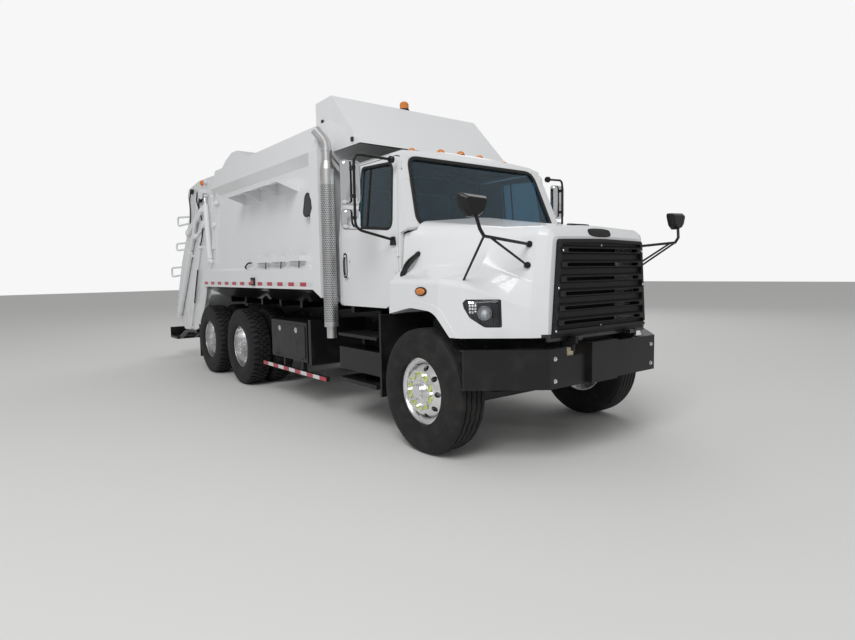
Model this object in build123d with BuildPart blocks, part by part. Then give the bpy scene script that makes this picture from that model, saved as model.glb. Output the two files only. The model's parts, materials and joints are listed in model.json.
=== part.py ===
# Garbage truck: a three axle truck with a long hood and a rear loading packer body.
# The model stands on Z 0. +X is forward, +Y is the left side, and the origin is under the middle.
# Stations are measured forward from the front axle, and every length is in millimetres.
import os
from math import cos, hypot, radians, sin

from build123d import *

os.makedirs("parts", exist_ok=True)

RIGHT, LEFT = -1, 1
SIDES = {"right": RIGHT, "left": LEFT}

# Layout of the whole truck
STEP_REAR = -8060
BUMPER_FRONT = 1000
BUMPER_BOX_OUT = 45
FRONT_AXLE_X = -(STEP_REAR + BUMPER_FRONT + BUMPER_BOX_OUT) / 2
WHEELBASE_FIRST = 4190
TANDEM_SPREAD = 1320
BODY_WIDTH = 2440
REAR_AXLES = {"r1": -WHEELBASE_FIRST, "r2": -WHEELBASE_FIRST - TANDEM_SPREAD}
SEAT = 0.3
PIN_CLEARANCE = 0.8

# Wheels and tyres
TYRE_RADIUS = 535
TYRE_FLATS = 40
FRONT_TYRE_WIDTH = 310
REAR_TYRE_WIDTH = 280
SHOULDER_DROP = 55
SHOULDER_IN = 32
RIM_RADIUS = 288
RIM_WALL = 14
DISC_THICKNESS = 20
HAND_HOLES = 10
HAND_HOLE_RADIUS = 24
HAND_HOLE_CIRCLE = 212
STUD_CIRCLE = 143
OUTER_SIDEWALL_Y = 1225
DUAL_PITCH = 340
HUB_RADIUS = 95
HUB_CAP_RADIUS = 66
LUG_NUTS = 10
LUG_RADIUS = 18
LUG_LENGTH = 32

# Frame
RAIL_OUTER_Y = 430
RAIL_TOP = 1050
RAIL_HEIGHT = 270
RAIL_FLANGE = 80
RAIL_WALL = 10
RAIL_REAR = -5900
RAIL_FRONT = 860

# Hood
HOOD_FRONT = 930
HOOD_REAR = -430
HOOD_WALL = 30
HOOD_LOW = 1020
HOOD_HALF_WIDTH = 1200
GRILLE_BOTTOM = 1015
GRILLE_TOP = 1780
GRILLE_HALF_LOW = 650
GRILLE_HALF_TOP = 560
GRILLE_DEPTH = 60
GRILLE_CROWN = 12
GRILLE_CORNER = 34
GRILLE_ROWS = 6
HOOD_HINGE_X = 985
HOOD_HINGE_Z = 1000

# Cab
CAB_REAR = -1555
CAB_FRONT = -445
CAB_LOW = 1200
CAB_ROOF = 2690
CAB_CROWN = 70
CAB_WALL = 45
CAB_BELT = 1900
CAB_HALF = 1060
CAB_HALF_ROOF = 985
DOOR_REAR = -1500
DOOR_FRONT = -480
DOOR_GAP = 9
DOOR_HINGE_X = DOOR_FRONT + DOOR_GAP / 2
DOOR_HINGE_OUT = 10
DOOR_TOP = 2610
GLASS = 6

# Load body
BODY_FRONT = -1690
BODY_FLOOR = 1200
BODY_ROOF = 3140
BODY_WALL_Y = 1150
BODY_SHEET = 50
SILL_TOP = 1600
SILL_LOW = 1370
RAIL_STRIP_LOW = 2720
RAIL_STRIP_TOP = 2830

# Tailgate and packer
TAILGATE_HINGE = (-5020, 3030)
TAILGATE_PLATE = 60
TAILGATE_TRAVEL = 80
SLIDE_DIRECTION = (-0.605, -0.796)
SLIDE_TRAVEL = 750
SWEEP_PIVOT = (-6300, 2030)
SWEEP_LENGTH = 740
SWEEP_TRAVEL = 90
CARRIER_LENGTH = 930
CARRIER_THICKNESS = 100
PACKER_HALF = 1075
CYLINDER_Y = 1200
CYLINDER_RADIUS = 45
ROD_RADIUS = 26
ROD_CLEARANCE = 0.8


def side_view(y):
    """Plane with its own X forward from the front axle and its own Y up. It faces the right side."""
    return Plane(origin=(FRONT_AXLE_X, y, 0), x_dir=(1, 0, 0), z_dir=(0, -1, 0))


def cross_view(x):
    """Plane across the truck at a station, with its own X to the left and its own Y up."""
    return Plane(origin=(FRONT_AXLE_X + x, 0, 0), x_dir=(0, 1, 0), z_dir=(1, 0, 0))


def plan_view(z):
    """Level plane with its own X forward from the front axle and its own Y to the left."""
    return Plane(origin=(FRONT_AXLE_X, 0, z), x_dir=(1, 0, 0), z_dir=(0, 0, 1))


def at(x, y, z):
    """Point from its station, its side and its height."""
    return Vector(FRONT_AXLE_X + x, y, z)


def outline_on(plane, points, radii=None):
    """Closed outline on a plane, with a radius for each corner where radii are given."""
    with BuildSketch(plane) as outline:
        with BuildLine():
            if radii:
                FilletPolyline(*points, radius=radii, close=True)
            else:
                Polyline(*points, close=True)
        make_face()
    return outline.sketch


def side_prism(points, y_from, y_to, mode=Mode.ADD, radii=None):
    """Side outline of stations and heights, as thick as the two Y values say."""
    top, low = max(y_from, y_to), min(y_from, y_to)
    extrude(outline_on(side_view(top), points, radii), amount=top - low, mode=mode)


def cross_prism(points, x_from, x_to, mode=Mode.ADD, radii=None):
    """Cross section of Y and Z points, from the rear station to the front one."""
    rear, front = min(x_from, x_to), max(x_from, x_to)
    extrude(outline_on(cross_view(rear), points, radii), amount=front - rear, mode=mode)


def plan_prism(points, z_from, z_to, mode=Mode.ADD, radii=None):
    """Plan outline of stations and Y values, between two heights."""
    extrude(outline_on(plan_view(min(z_from, z_to)), points, radii), amount=abs(z_to - z_from), mode=mode)


def block(x_range, y_range, z_range, mode=Mode.ADD):
    """Plain block between stations, Y values and heights."""
    rear, front = min(x_range), max(x_range)
    low_y, high_y = min(y_range), max(y_range)
    with BuildSketch(plan_view(min(z_range))) as outline:
        with Locations(((rear + front) / 2, (low_y + high_y) / 2)):
            Rectangle(front - rear, high_y - low_y)
    extrude(outline.sketch, amount=abs(z_range[1] - z_range[0]), mode=mode)


def sheet_along(points, thickness, y_from, y_to, mode=Mode.ADD):
    """Folded sheet that follows a side path of stations and heights, centred on it."""
    top, low = max(y_from, y_to), min(y_from, y_to)
    with BuildSketch(side_view(top)) as outline:
        with BuildLine():
            Polyline(*points)
        trace(line_width=thickness)
    extrude(outline.sketch, amount=top - low, mode=mode)


def bar(start, end, radius, bore=0, mode=Mode.ADD):
    """Round bar, or a tube if it has a bore, from one point to another."""
    run = end - start
    with BuildSketch(Plane(origin=start, z_dir=run)) as outline:
        Circle(radius)
        if bore:
            Circle(bore, mode=Mode.SUBTRACT)
    extrude(outline.sketch, amount=run.length, mode=mode)


def mirrored(points):
    """Half outline of Y and Z points from the middle outwards, completed to both sides."""
    return list(points) + [(-y, z) for y, z in reversed(points)]


def crowned(crown, half):
    """Half outline of Y and Z points completed to both sides, with its crown in the middle."""
    return [(0, crown)] + mirrored(half)


def grown(outline, amount):
    """Side outline moved outwards all round by an amount."""
    middle_x = sum(x for x, z in outline) / len(outline)
    middle_z = sum(z for x, z in outline) / len(outline)
    moved = []
    for x, z in outline:
        moved.append((x + (amount if x > middle_x else -amount), z + (amount if z > middle_z else -amount)))
    return moved


def save(piece, name):
    """Labels a finished piece and writes its file."""
    piece.part.label = name
    export_step(piece.part, f"parts/{name}.step")


# Frame rails: two channels with the hood hinge lugs at the front, and crossmembers seated between them
RAIL_LOW = RAIL_TOP - RAIL_HEIGHT
RAIL_SECTION = [
    (RAIL_OUTER_Y, RAIL_LOW),
    (RAIL_OUTER_Y, RAIL_TOP),
    (RAIL_OUTER_Y - RAIL_FLANGE, RAIL_TOP),
    (RAIL_OUTER_Y - RAIL_FLANGE, RAIL_TOP - RAIL_WALL),
    (RAIL_OUTER_Y - RAIL_WALL, RAIL_TOP - RAIL_WALL),
    (RAIL_OUTER_Y - RAIL_WALL, RAIL_LOW + RAIL_WALL),
    (RAIL_OUTER_Y - RAIL_FLANGE, RAIL_LOW + RAIL_WALL),
    (RAIL_OUTER_Y - RAIL_FLANGE, RAIL_LOW),
]
HINGE_LUG_WIDTH = 30
BETWEEN_RAILS = RAIL_OUTER_Y - RAIL_WALL - SEAT
CROSSMEMBERS = [(820, BETWEEN_RAILS - HINGE_LUG_WIDTH)]
CROSSMEMBERS += [(station, BETWEEN_RAILS) for station in (-1750, -2700, -3480, -4850, -5860)]
CROSSMEMBER_LENGTH = 70
CROSSMEMBER_HEIGHT = 100
HINGE_BUSH_RADIUS = 22
HINGE_BUSH_LENGTH = 60
HINGE_PIN_RADIUS = 12
TOW_TONGUE_FRONT = 982
TOW_TONGUE_OUT = 85
TOW_TONGUE = (870, 900)
TOW_PLATE = 14
TOW_PIN_X = 958
TOW_PIN_RADIUS = 15

with BuildPart() as frame_rails:
    for side in SIDES.values():
        section = [(side * y, z) for y, z in RAIL_SECTION]
        cross_prism(section, RAIL_REAR, RAIL_FRONT)
    for station, half in CROSSMEMBERS:
        block(
            (station - CROSSMEMBER_LENGTH / 2, station + CROSSMEMBER_LENGTH / 2),
            (-half, half),
            (RAIL_TOP - RAIL_WALL - CROSSMEMBER_HEIGHT, RAIL_TOP - RAIL_WALL - SEAT),
        )
    for side in SIDES.values():
        lug = [
            (RAIL_FRONT - 120, RAIL_TOP - 60),
            (RAIL_FRONT - 120, TOW_TONGUE[0] - 30),
            (TOW_TONGUE_FRONT - 50, TOW_TONGUE[0] - 30),
            (TOW_TONGUE_FRONT - 7, TOW_TONGUE[0]),
            (TOW_TONGUE_FRONT - 2, HOOD_HINGE_Z - 52),
            (HOOD_HINGE_X + 20, HOOD_HINGE_Z - 38),
            (HOOD_HINGE_X + 20, HOOD_HINGE_Z + 22),
            (HOOD_HINGE_X - 22, HOOD_HINGE_Z + 22),
            (HOOD_HINGE_X - 40, HOOD_HINGE_Z - 25),
        ]
        lug_outer = side * (RAIL_OUTER_Y - RAIL_WALL)
        side_prism(lug, lug_outer, lug_outer - side * HINGE_LUG_WIDTH)
        pin_start = at(HOOD_HINGE_X, lug_outer - side * HINGE_LUG_WIDTH, HOOD_HINGE_Z)
        pin_end = at(HOOD_HINGE_X, lug_outer - side * (HINGE_LUG_WIDTH + HINGE_BUSH_LENGTH + 8), HOOD_HINGE_Z)
        bar(pin_start, pin_end, HINGE_PIN_RADIUS)
save(frame_rails, "frame_rails")

# Tow hooks: a plate on each lug with a level tongue, bored for a tow pin
with BuildPart() as tow_hooks:
    for side in SIDES.values():
        root = side * (RAIL_OUTER_Y - RAIL_WALL + SEAT)
        tongue_end = side * (RAIL_OUTER_Y - RAIL_WALL + TOW_TONGUE_OUT)
        tongue = [
            (TOW_TONGUE_FRONT - 95, root),
            (TOW_TONGUE_FRONT, root),
            (TOW_TONGUE_FRONT, tongue_end - side * 15),
            (TOW_TONGUE_FRONT - 15, tongue_end),
            (TOW_TONGUE_FRONT - 40, tongue_end),
        ]
        plan_prism(tongue, *TOW_TONGUE)
        block((RAIL_FRONT + SEAT, TOW_TONGUE_FRONT - 22), (root, root + side * TOW_PLATE), (TOW_TONGUE[0] - 25, 925))
        tow_y = side * (RAIL_OUTER_Y - RAIL_WALL + TOW_TONGUE_OUT / 2)
        pin_low, pin_high = (at(TOW_PIN_X, tow_y, height) for height in TOW_TONGUE)
        bar(pin_low - Vector(0, 0, 1), pin_high + Vector(0, 0, 1), TOW_PIN_RADIUS, mode=Mode.SUBTRACT)
save(tow_hooks, "tow_hooks")

# Bumper: three flat faces of folded plate with a projecting middle box
BUMPER_BEND_Y = 720
BUMPER_END_Y = HOOD_HALF_WIDTH + 20
BUMPER_END_X = 585
BUMPER_LOW = 630
BUMPER_TOP = 940
BUMPER_DEPTH = 85
BUMPER_PLATE = 12
BUMPER_BOX = (-260, 90)
TOW_OPENING = (-520, -270)

with BuildPart() as bumper:
    outer = [
        (BUMPER_END_X, BUMPER_END_Y),
        (BUMPER_FRONT, BUMPER_BEND_Y),
        (BUMPER_FRONT, -BUMPER_BEND_Y),
        (BUMPER_END_X, -BUMPER_END_Y),
        (BUMPER_END_X - BUMPER_DEPTH + 30, -BUMPER_END_Y),
        (BUMPER_FRONT - BUMPER_DEPTH, -BUMPER_BEND_Y + 60),
        (BUMPER_FRONT - BUMPER_DEPTH, BUMPER_BEND_Y - 60),
        (BUMPER_END_X - BUMPER_DEPTH + 30, BUMPER_END_Y),
    ]
    plan_prism(outer, BUMPER_LOW, BUMPER_TOP)
    hollow = [
        (BUMPER_END_X - BUMPER_PLATE * 2, BUMPER_END_Y + 1),
        (BUMPER_FRONT - BUMPER_PLATE, BUMPER_BEND_Y - BUMPER_PLATE / 2),
        (BUMPER_FRONT - BUMPER_PLATE, -BUMPER_BEND_Y + BUMPER_PLATE / 2),
        (BUMPER_END_X - BUMPER_PLATE * 2, -BUMPER_END_Y - 1),
        (BUMPER_END_X - 200, -BUMPER_END_Y - 1),
        (BUMPER_FRONT - 200, 0),
        (BUMPER_END_X - 200, BUMPER_END_Y + 1),
    ]
    plan_prism(hollow, BUMPER_LOW + BUMPER_PLATE, BUMPER_TOP - BUMPER_PLATE, mode=Mode.SUBTRACT)
    block(
        (BUMPER_FRONT - BUMPER_PLATE, BUMPER_FRONT + BUMPER_BOX_OUT),
        BUMPER_BOX,
        (BUMPER_LOW, BUMPER_TOP + 20),
    )
    block(
        (BUMPER_FRONT - BUMPER_DEPTH - 20, BUMPER_FRONT - BUMPER_PLATE),
        (-RAIL_OUTER_Y - TOW_TONGUE_OUT, RAIL_OUTER_Y + TOW_TONGUE_OUT),
        (BUMPER_TOP - BUMPER_PLATE - 1, BUMPER_TOP + 1),
        mode=Mode.SUBTRACT,
    )
    block(
        (BUMPER_FRONT - BUMPER_PLATE - 1, BUMPER_FRONT + 1),
        TOW_OPENING,
        (TOW_TONGUE[0], BUMPER_TOP + 1),
        mode=Mode.SUBTRACT,
    )
    for side in SIDES.values():
        block(
            (RAIL_FRONT + SEAT, BUMPER_FRONT - BUMPER_PLATE),
            (side * (RAIL_OUTER_Y - RAIL_FLANGE), side * (RAIL_OUTER_Y - 2)),
            (RAIL_LOW + 2, RAIL_LOW + 55),
        )
save(bumper, "bumper")

# Radiator, engine and driveline
with BuildPart() as radiator:
    block((700, 780), (-345, 345), (940, RAIL_TOP + 10))
    block((700, 780), (-420, 420), (RAIL_TOP + SEAT, 1740))
    block((650, 700), (-330, 330), (1080, 1640))
save(radiator, "radiator")

ENGINE_REAR = -380
ENGINE_FRONT = 600
with BuildPart() as engine:
    block((ENGINE_REAR, ENGINE_FRONT), (-300, 300), (720, 1560))
    for side in SIDES.values():
        block((40, 160), (side * 290, side * (RAIL_OUTER_Y - RAIL_WALL - SEAT)), (900, 980))
save(engine, "engine")

SHAFT_RADIUS = 55
AXLE_HEIGHT = TYRE_RADIUS
BOWL_RADIUS = 215
BOWL_LENGTH = 230
with BuildPart() as driveline:
    gearbox = [(-380 - SEAT, 1150), (-380 - SEAT, 720), (-900, 760), (-1300, 800), (-1300, 940), (-900, 1100)]
    side_prism(gearbox, 230, -230)
    shaft_start = at(-1299, 0, 868)
    shaft_end = at(REAR_AXLES["r1"] + BOWL_RADIUS + SEAT, 0, AXLE_HEIGHT + 60)
    bar(shaft_start, shaft_end, SHAFT_RADIUS)
    between_start = at(REAR_AXLES["r1"] - BOWL_RADIUS - SEAT, 0, AXLE_HEIGHT + 60)
    between_end = at(REAR_AXLES["r2"] + BOWL_RADIUS + SEAT, 0, AXLE_HEIGHT + 60)
    bar(between_start, between_end, SHAFT_RADIUS)
save(driveline, "driveline")

# Front axle: beam with kingpin ends, and its leaf springs
KINGPIN_Y = 900
KINGPIN_RADIUS = 24
KINGPIN_BOSS = 45
BEAM_DROP = 120
SPRING_Y = 390
SPRING_WIDTH = 80
KNUCKLE_HALF = 70
with BuildPart() as front_axle:
    beam = [
        (-KINGPIN_Y, AXLE_HEIGHT + KINGPIN_BOSS),
        (-KINGPIN_Y, AXLE_HEIGHT - KINGPIN_BOSS),
        (-KINGPIN_Y + 60, AXLE_HEIGHT - KINGPIN_BOSS),
        (-560, AXLE_HEIGHT - BEAM_DROP - 60),
        (560, AXLE_HEIGHT - BEAM_DROP - 60),
        (KINGPIN_Y - 60, AXLE_HEIGHT - KINGPIN_BOSS),
        (KINGPIN_Y, AXLE_HEIGHT - KINGPIN_BOSS),
        (KINGPIN_Y, AXLE_HEIGHT + KINGPIN_BOSS),
        (KINGPIN_Y - 60, AXLE_HEIGHT + KINGPIN_BOSS),
        (540, AXLE_HEIGHT - BEAM_DROP + 30),
        (-540, AXLE_HEIGHT - BEAM_DROP + 30),
        (-KINGPIN_Y + 60, AXLE_HEIGHT + KINGPIN_BOSS),
    ]
    cross_prism(beam, -KINGPIN_BOSS, KINGPIN_BOSS)
    for side in SIDES.values():
        boss_low = at(0, side * KINGPIN_Y, AXLE_HEIGHT - KINGPIN_BOSS)
        bar(boss_low, boss_low + Vector(0, 0, 2 * KINGPIN_BOSS), KINGPIN_BOSS)
        bar(
            at(0, side * KINGPIN_Y, AXLE_HEIGHT - KNUCKLE_HALF - 28),
            at(0, side * KINGPIN_Y, AXLE_HEIGHT + KNUCKLE_HALF + 28),
            KINGPIN_RADIUS,
        )
        spring = [
            (760, 700),
            (330, 545),
            (90, 500),
            (-90, 500),
            (-330, 545),
            (-760, 700),
            (-760, 685),
            (-330, 480),
            (-90, AXLE_HEIGHT - BEAM_DROP + 20),
            (90, AXLE_HEIGHT - BEAM_DROP + 20),
            (330, 480),
            (760, 685),
        ]
        inner_y, outer_y = side * (SPRING_Y - SPRING_WIDTH / 2), side * (SPRING_Y + SPRING_WIDTH / 2)
        side_prism(spring, inner_y, outer_y)
        for end in (-760, 760):
            hanger = [(end - 35, 670), (end + 35, 670), (end + 45, RAIL_LOW - SEAT), (end - 45, RAIL_LOW - SEAT)]
            side_prism(hanger, inner_y, outer_y)
save(front_axle, "front_axle")

# Rear axles: two housings with bowls, springs and hangers
HOUSING_RADIUS = 75
HOUSING_END_Y = 735
with BuildPart() as rear_axles:
    for station in REAR_AXLES.values():
        bar(at(station, -HOUSING_END_Y, AXLE_HEIGHT), at(station, HOUSING_END_Y, AXLE_HEIGHT), HOUSING_RADIUS)
        bar(at(station, -BOWL_LENGTH / 2, AXLE_HEIGHT), at(station, BOWL_LENGTH / 2, AXLE_HEIGHT), BOWL_RADIUS)
    middle = (REAR_AXLES["r1"] + REAR_AXLES["r2"]) / 2
    for side in SIDES.values():
        inner_y, outer_y = side * (SPRING_Y - SPRING_WIDTH / 2), side * (SPRING_Y + SPRING_WIDTH / 2)
        walking_beam = [
            (REAR_AXLES["r1"] + 70, 430),
            (REAR_AXLES["r1"] + 70, 500),
            (middle, 560),
            (REAR_AXLES["r2"] - 70, 500),
            (REAR_AXLES["r2"] - 70, 430),
            (middle, 440),
        ]
        side_prism(walking_beam, inner_y, outer_y)
        saddle = [
            (middle - 110, 500),
            (middle + 110, 500),
            (middle + 320, RAIL_LOW - SEAT),
            (middle - 320, RAIL_LOW - SEAT),
        ]
        side_prism(saddle, inner_y, outer_y)
save(rear_axles, "rear_axles")


# Wheels
def tyre_ring(inner_y, outer_y, station):
    """Tyre of flat treads and chamfered shoulders between two Y values, bored to sit on its rim."""
    low, high = min(inner_y, outer_y), max(inner_y, outer_y)
    face = Plane(origin=Vector(FRONT_AXLE_X + station, high, AXLE_HEIGHT), x_dir=(1, 0, 0), z_dir=(0, -1, 0))
    with BuildPart(mode=Mode.PRIVATE) as tyre:
        with BuildSketch(face) as tread:
            RegularPolygon(TYRE_RADIUS, TYRE_FLATS, major_radius=False, rotation=180 / TYRE_FLATS)
        extrude(tread.sketch, amount=high - low)
        for index in (0, -1):
            end = tyre.part.faces().filter_by(Axis.Y).sort_by(Axis.Y)[index]
            chamfer(end.edges(), length=SHOULDER_DROP, length2=SHOULDER_IN, reference=end)
        with BuildSketch(face) as bore:
            RegularPolygon(RIM_RADIUS + SEAT, TYRE_FLATS, major_radius=False, rotation=180 / TYRE_FLATS)
        extrude(bore.sketch, amount=high - low, mode=Mode.SUBTRACT)
    add(tyre.part)


def rim_profile(points, station, radii=None):
    """Turned piece around a wheel's axis, from Y and radius points, with a radius for each corner."""
    centre = Vector(FRONT_AXLE_X + station, 0, AXLE_HEIGHT)
    profile = outline_on(Plane(origin=centre, x_dir=(0, 1, 0), z_dir=(1, 0, 0)), points, radii)
    revolve(profile, axis=Axis(tuple(centre), (0, 1, 0)))


def hand_holes(station, y_from, y_to):
    """Ring of round hand holes through a wheel disc."""
    top, low = max(y_from, y_to), min(y_from, y_to)
    centre = Vector(FRONT_AXLE_X + station, top, AXLE_HEIGHT)
    with BuildSketch(Plane(origin=centre, x_dir=(1, 0, 0), z_dir=(0, -1, 0))) as holes:
        with PolarLocations(HAND_HOLE_CIRCLE, HAND_HOLES):
            Circle(HAND_HOLE_RADIUS)
    extrude(holes.sketch, amount=top - low, mode=Mode.SUBTRACT)


def lug_nuts(station, y_from, y_to):
    """Ring of six sided lug nuts that stand out of a wheel disc."""
    top, low = max(y_from, y_to), min(y_from, y_to)
    centre = Vector(FRONT_AXLE_X + station, top, AXLE_HEIGHT)
    with BuildSketch(Plane(origin=centre, x_dir=(1, 0, 0), z_dir=(0, -1, 0))) as nuts:
        with PolarLocations(STUD_CIRCLE, LUG_NUTS):
            RegularPolygon(LUG_RADIUS, 6)
    extrude(nuts.sketch, amount=top - low)


FRONT_TYRE_INNER = OUTER_SIDEWALL_Y - FRONT_TYRE_WIDTH
FRONT_RIM_OUTER = 1180
FRONT_RIM_INNER = 945
SPINDLE_BORE = 40
for name, side in SIDES.items():
    with BuildPart() as front_tyre:
        tyre_ring(side * FRONT_TYRE_INNER, side * OUTER_SIDEWALL_Y, 0)
    save(front_tyre, f"tyre_front_{name}")
    with BuildPart() as front_wheel:
        disc_y = FRONT_RIM_OUTER + DISC_THICKNESS
        well = RIM_RADIUS - RIM_WALL
        profile = [
            (FRONT_RIM_INNER, RIM_RADIUS),
            (FRONT_RIM_INNER, well),
            (FRONT_RIM_OUTER - 70, well),
            (disc_y - 24, STUD_CIRCLE + 42),
            (disc_y - 24, SPINDLE_BORE),
            (disc_y, SPINDLE_BORE),
            (disc_y, STUD_CIRCLE + 46),
            (FRONT_RIM_OUTER - 32, well - 12),
            (FRONT_RIM_OUTER - 14, well),
            (FRONT_RIM_OUTER, well),
            (FRONT_RIM_OUTER, RIM_RADIUS),
        ]
        rounding = [0, 0, 0, 60, 0, 0, 45, 14, 0, 0, 4]
        rim_profile([(side * y, r) for y, r in profile], 0, rounding)
        hand_holes(0, side * (FRONT_RIM_OUTER - 90), side * (FRONT_RIM_OUTER + 60))
        hub = [
            (FRONT_RIM_INNER + 50, SPINDLE_BORE),
            (FRONT_RIM_INNER + 50, HUB_RADIUS),
            (disc_y + 7, HUB_RADIUS),
            (disc_y + 7, HUB_CAP_RADIUS),
            (disc_y + 44, HUB_CAP_RADIUS),
            (disc_y + 44, 0),
            (disc_y - 24, 0),
            (disc_y - 24, SPINDLE_BORE),
        ]
        rim_profile([(side * y, r) for y, r in hub], 0, [0, 0, 4, 0, 14, 0, 0, 0])
        lug_nuts(0, side * (disc_y - 5), side * (disc_y + LUG_LENGTH))
    save(front_wheel, f"wheel_front_{name}")

REAR_OUTER_TYRE = (OUTER_SIDEWALL_Y - REAR_TYRE_WIDTH, OUTER_SIDEWALL_Y)
REAR_INNER_TYRE = (REAR_OUTER_TYRE[0] - DUAL_PITCH, REAR_OUTER_TYRE[1] - DUAL_PITCH)
REAR_DISC_Y = (REAR_OUTER_TYRE[0] + REAR_INNER_TYRE[1]) / 2
RIM_INSET = 35
DISH_DEPTH = 70
HUB_LENGTH = 105
for axle, station in REAR_AXLES.items():
    for name, side in SIDES.items():
        with BuildPart() as rear_tyres:
            for inner, outer in (REAR_INNER_TYRE, REAR_OUTER_TYRE):
                tyre_ring(side * inner, side * outer, station)
        save(rear_tyres, f"tyres_{axle}_{name}")
        with BuildPart() as rear_wheel:
            well = RIM_RADIUS - RIM_WALL
            barrel = [
                (REAR_INNER_TYRE[0] + RIM_INSET, RIM_RADIUS),
                (REAR_INNER_TYRE[0] + RIM_INSET, well),
                (REAR_DISC_Y - DISH_DEPTH, well),
                (REAR_DISC_Y - DISC_THICKNESS, STUD_CIRCLE + 45),
                (REAR_DISC_Y - DISC_THICKNESS, HUB_RADIUS),
                (REAR_DISC_Y + DISC_THICKNESS, HUB_RADIUS),
                (REAR_DISC_Y + DISC_THICKNESS, STUD_CIRCLE + 45),
                (REAR_DISC_Y + DISH_DEPTH, well),
                (REAR_OUTER_TYRE[1] - RIM_INSET, well),
                (REAR_OUTER_TYRE[1] - RIM_INSET, RIM_RADIUS),
            ]
            rounding = [0, 4, 20, 30, 0, 0, 30, 20, 4, 4]
            rim_profile([(side * y, r) for y, r in barrel], station, rounding)
            hand_holes(station, side * (REAR_DISC_Y - 90), side * (REAR_DISC_Y + 90))
            hub_end = REAR_DISC_Y + DISC_THICKNESS + HUB_LENGTH
            hub = [
                (HOUSING_END_Y + SEAT, 0),
                (HOUSING_END_Y + SEAT, HUB_RADIUS + 5),
                (hub_end, HUB_RADIUS + 5),
                (hub_end, HUB_CAP_RADIUS),
                (hub_end + 18, HUB_CAP_RADIUS),
                (hub_end + 18, 0),
            ]
            rim_profile([(side * y, r) for y, r in hub], station, [0, 0, 12, 0, 8, 0])
            nut_foot = REAR_DISC_Y + DISC_THICKNESS - 2
            lug_nuts(station, side * nut_foot, side * (nut_foot + LUG_LENGTH))
        save(rear_wheel, f"wheels_{axle}_{name}")

# Steering: a knuckle at each kingpin, and the tie rod between their arms
ARM_LENGTH = 230
ARM_Y = 860
TIE_ROD_Z = AXLE_HEIGHT - 120
KNUCKLE_CLEARANCE = PIN_CLEARANCE
SPINDLE_RADIUS = SPINDLE_BORE - SEAT
TIE_ROD_RADIUS = 18
for name, side in SIDES.items():
    with BuildPart() as knuckle:
        for low in (AXLE_HEIGHT - KNUCKLE_HALF - 25, AXLE_HEIGHT + 45 + KNUCKLE_CLEARANCE):
            high = low + KNUCKLE_HALF + 25 - 45 - KNUCKLE_CLEARANCE
            bar(
                at(0, side * KINGPIN_Y, low),
                at(0, side * KINGPIN_Y, high),
                44,
                bore=KINGPIN_RADIUS + KNUCKLE_CLEARANCE,
            )
        block(
            (-60, 60),
            (side * (KINGPIN_Y + 47), side * (KINGPIN_Y + 75)),
            (AXLE_HEIGHT - KNUCKLE_HALF - 25, AXLE_HEIGHT + KNUCKLE_HALF + 25),
        )
        for low, high in (
            (AXLE_HEIGHT - KNUCKLE_HALF - 25, AXLE_HEIGHT - 45 - KNUCKLE_CLEARANCE),
            (AXLE_HEIGHT + 45 + KNUCKLE_CLEARANCE, AXLE_HEIGHT + KNUCKLE_HALF + 25),
        ):
            block((-30, 30), (side * (KINGPIN_Y + 30), side * (KINGPIN_Y + 50)), (low, high))
        bar(
            at(0, side * (KINGPIN_Y + 74), AXLE_HEIGHT),
            at(0, side * (FRONT_RIM_OUTER - 15), AXLE_HEIGHT),
            SPINDLE_RADIUS,
        )
        arm = [
            (-60, side * (KINGPIN_Y + 47)),
            (-60, side * (KINGPIN_Y + 70)),
            (-ARM_LENGTH - 20, side * (ARM_Y + 22)),
            (-ARM_LENGTH - 20, side * (ARM_Y - 22)),
        ]
        plan_prism(arm, TIE_ROD_Z + 26, TIE_ROD_Z + 56)
        block(
            (-62, -20),
            (side * (KINGPIN_Y + 47), side * (KINGPIN_Y + 70)),
            (TIE_ROD_Z + 26, TIE_ROD_Z + 56),
        )
    save(knuckle, f"knuckle_{name}")

with BuildPart() as tie_rod:
    bar(at(-ARM_LENGTH, -ARM_Y, TIE_ROD_Z), at(-ARM_LENGTH, ARM_Y, TIE_ROD_Z), TIE_ROD_RADIUS)
    for side in SIDES.values():
        bar(
            at(-ARM_LENGTH, side * ARM_Y, TIE_ROD_Z - 26),
            at(-ARM_LENGTH, side * ARM_Y, TIE_ROD_Z + 26 - SEAT),
            24,
        )
save(tie_rod, "tie_rod")

# Hood: a crowned shell lofted through cross sections, whose sides flow out into the fenders
# Columns: station, crown height, shoulder Y and Z, share of the way out and height of the waist, height of the
# fender's top, how far the fender is drawn in, and the radii of the shoulder and the waist
HOOD_SECTIONS = [
    (930, 1812, 603, 1800, 0.65, 1450, 1250, 540, 40, 60),
    (905, 1868, 630, 1850, 0.69, 1450, 1250, 503, 60, 60),
    (850, 1905, 676, 1882, 0.68, 1450, 1250, 423, 100, 60),
    (480, 1955, 757, 1895, 0.42, 1585, 1442, 40, 172, 150),
    (250, 1985, 820, 1922, 0.37, 1570, 1475, 0, 180, 150),
    (-100, 2035, 925, 1962, 0.31, 1570, 1470, 0, 190, 120),
    (HOOD_REAR, 2090, 1010, 2000, 0.19, 1575, 1465, 0, 200, 100),
]
CROWN_RADIUS = 2500
FENDER_RADIUS = 60
FENDER_SLOPE = 8
ARCH = [(HOOD_REAR - 30, 1170), (-120, 1240), (205, 1216), (395, 998)]
ARCH_RADII = [0, 260, 230, 0]
ARCH_LIP = 70
ARCH_LIP_PROUD = 8
ARCH_LINER = 8
LINER_INNER_Y = 600
LAMP_LINE = ((850, 757), (480, 1150))
LAMP_OUTLINE = [(11, 1297), (35, 1323), (308, 1321), (314, 1103), (179, 1104), (64, 1180), (19, 1258)]
LAMP_RADII = [8, 12, 14, 14, 60, 60, 20]
LAMP_DEPTH = 70
LAMP_POCKET = 16
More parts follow.
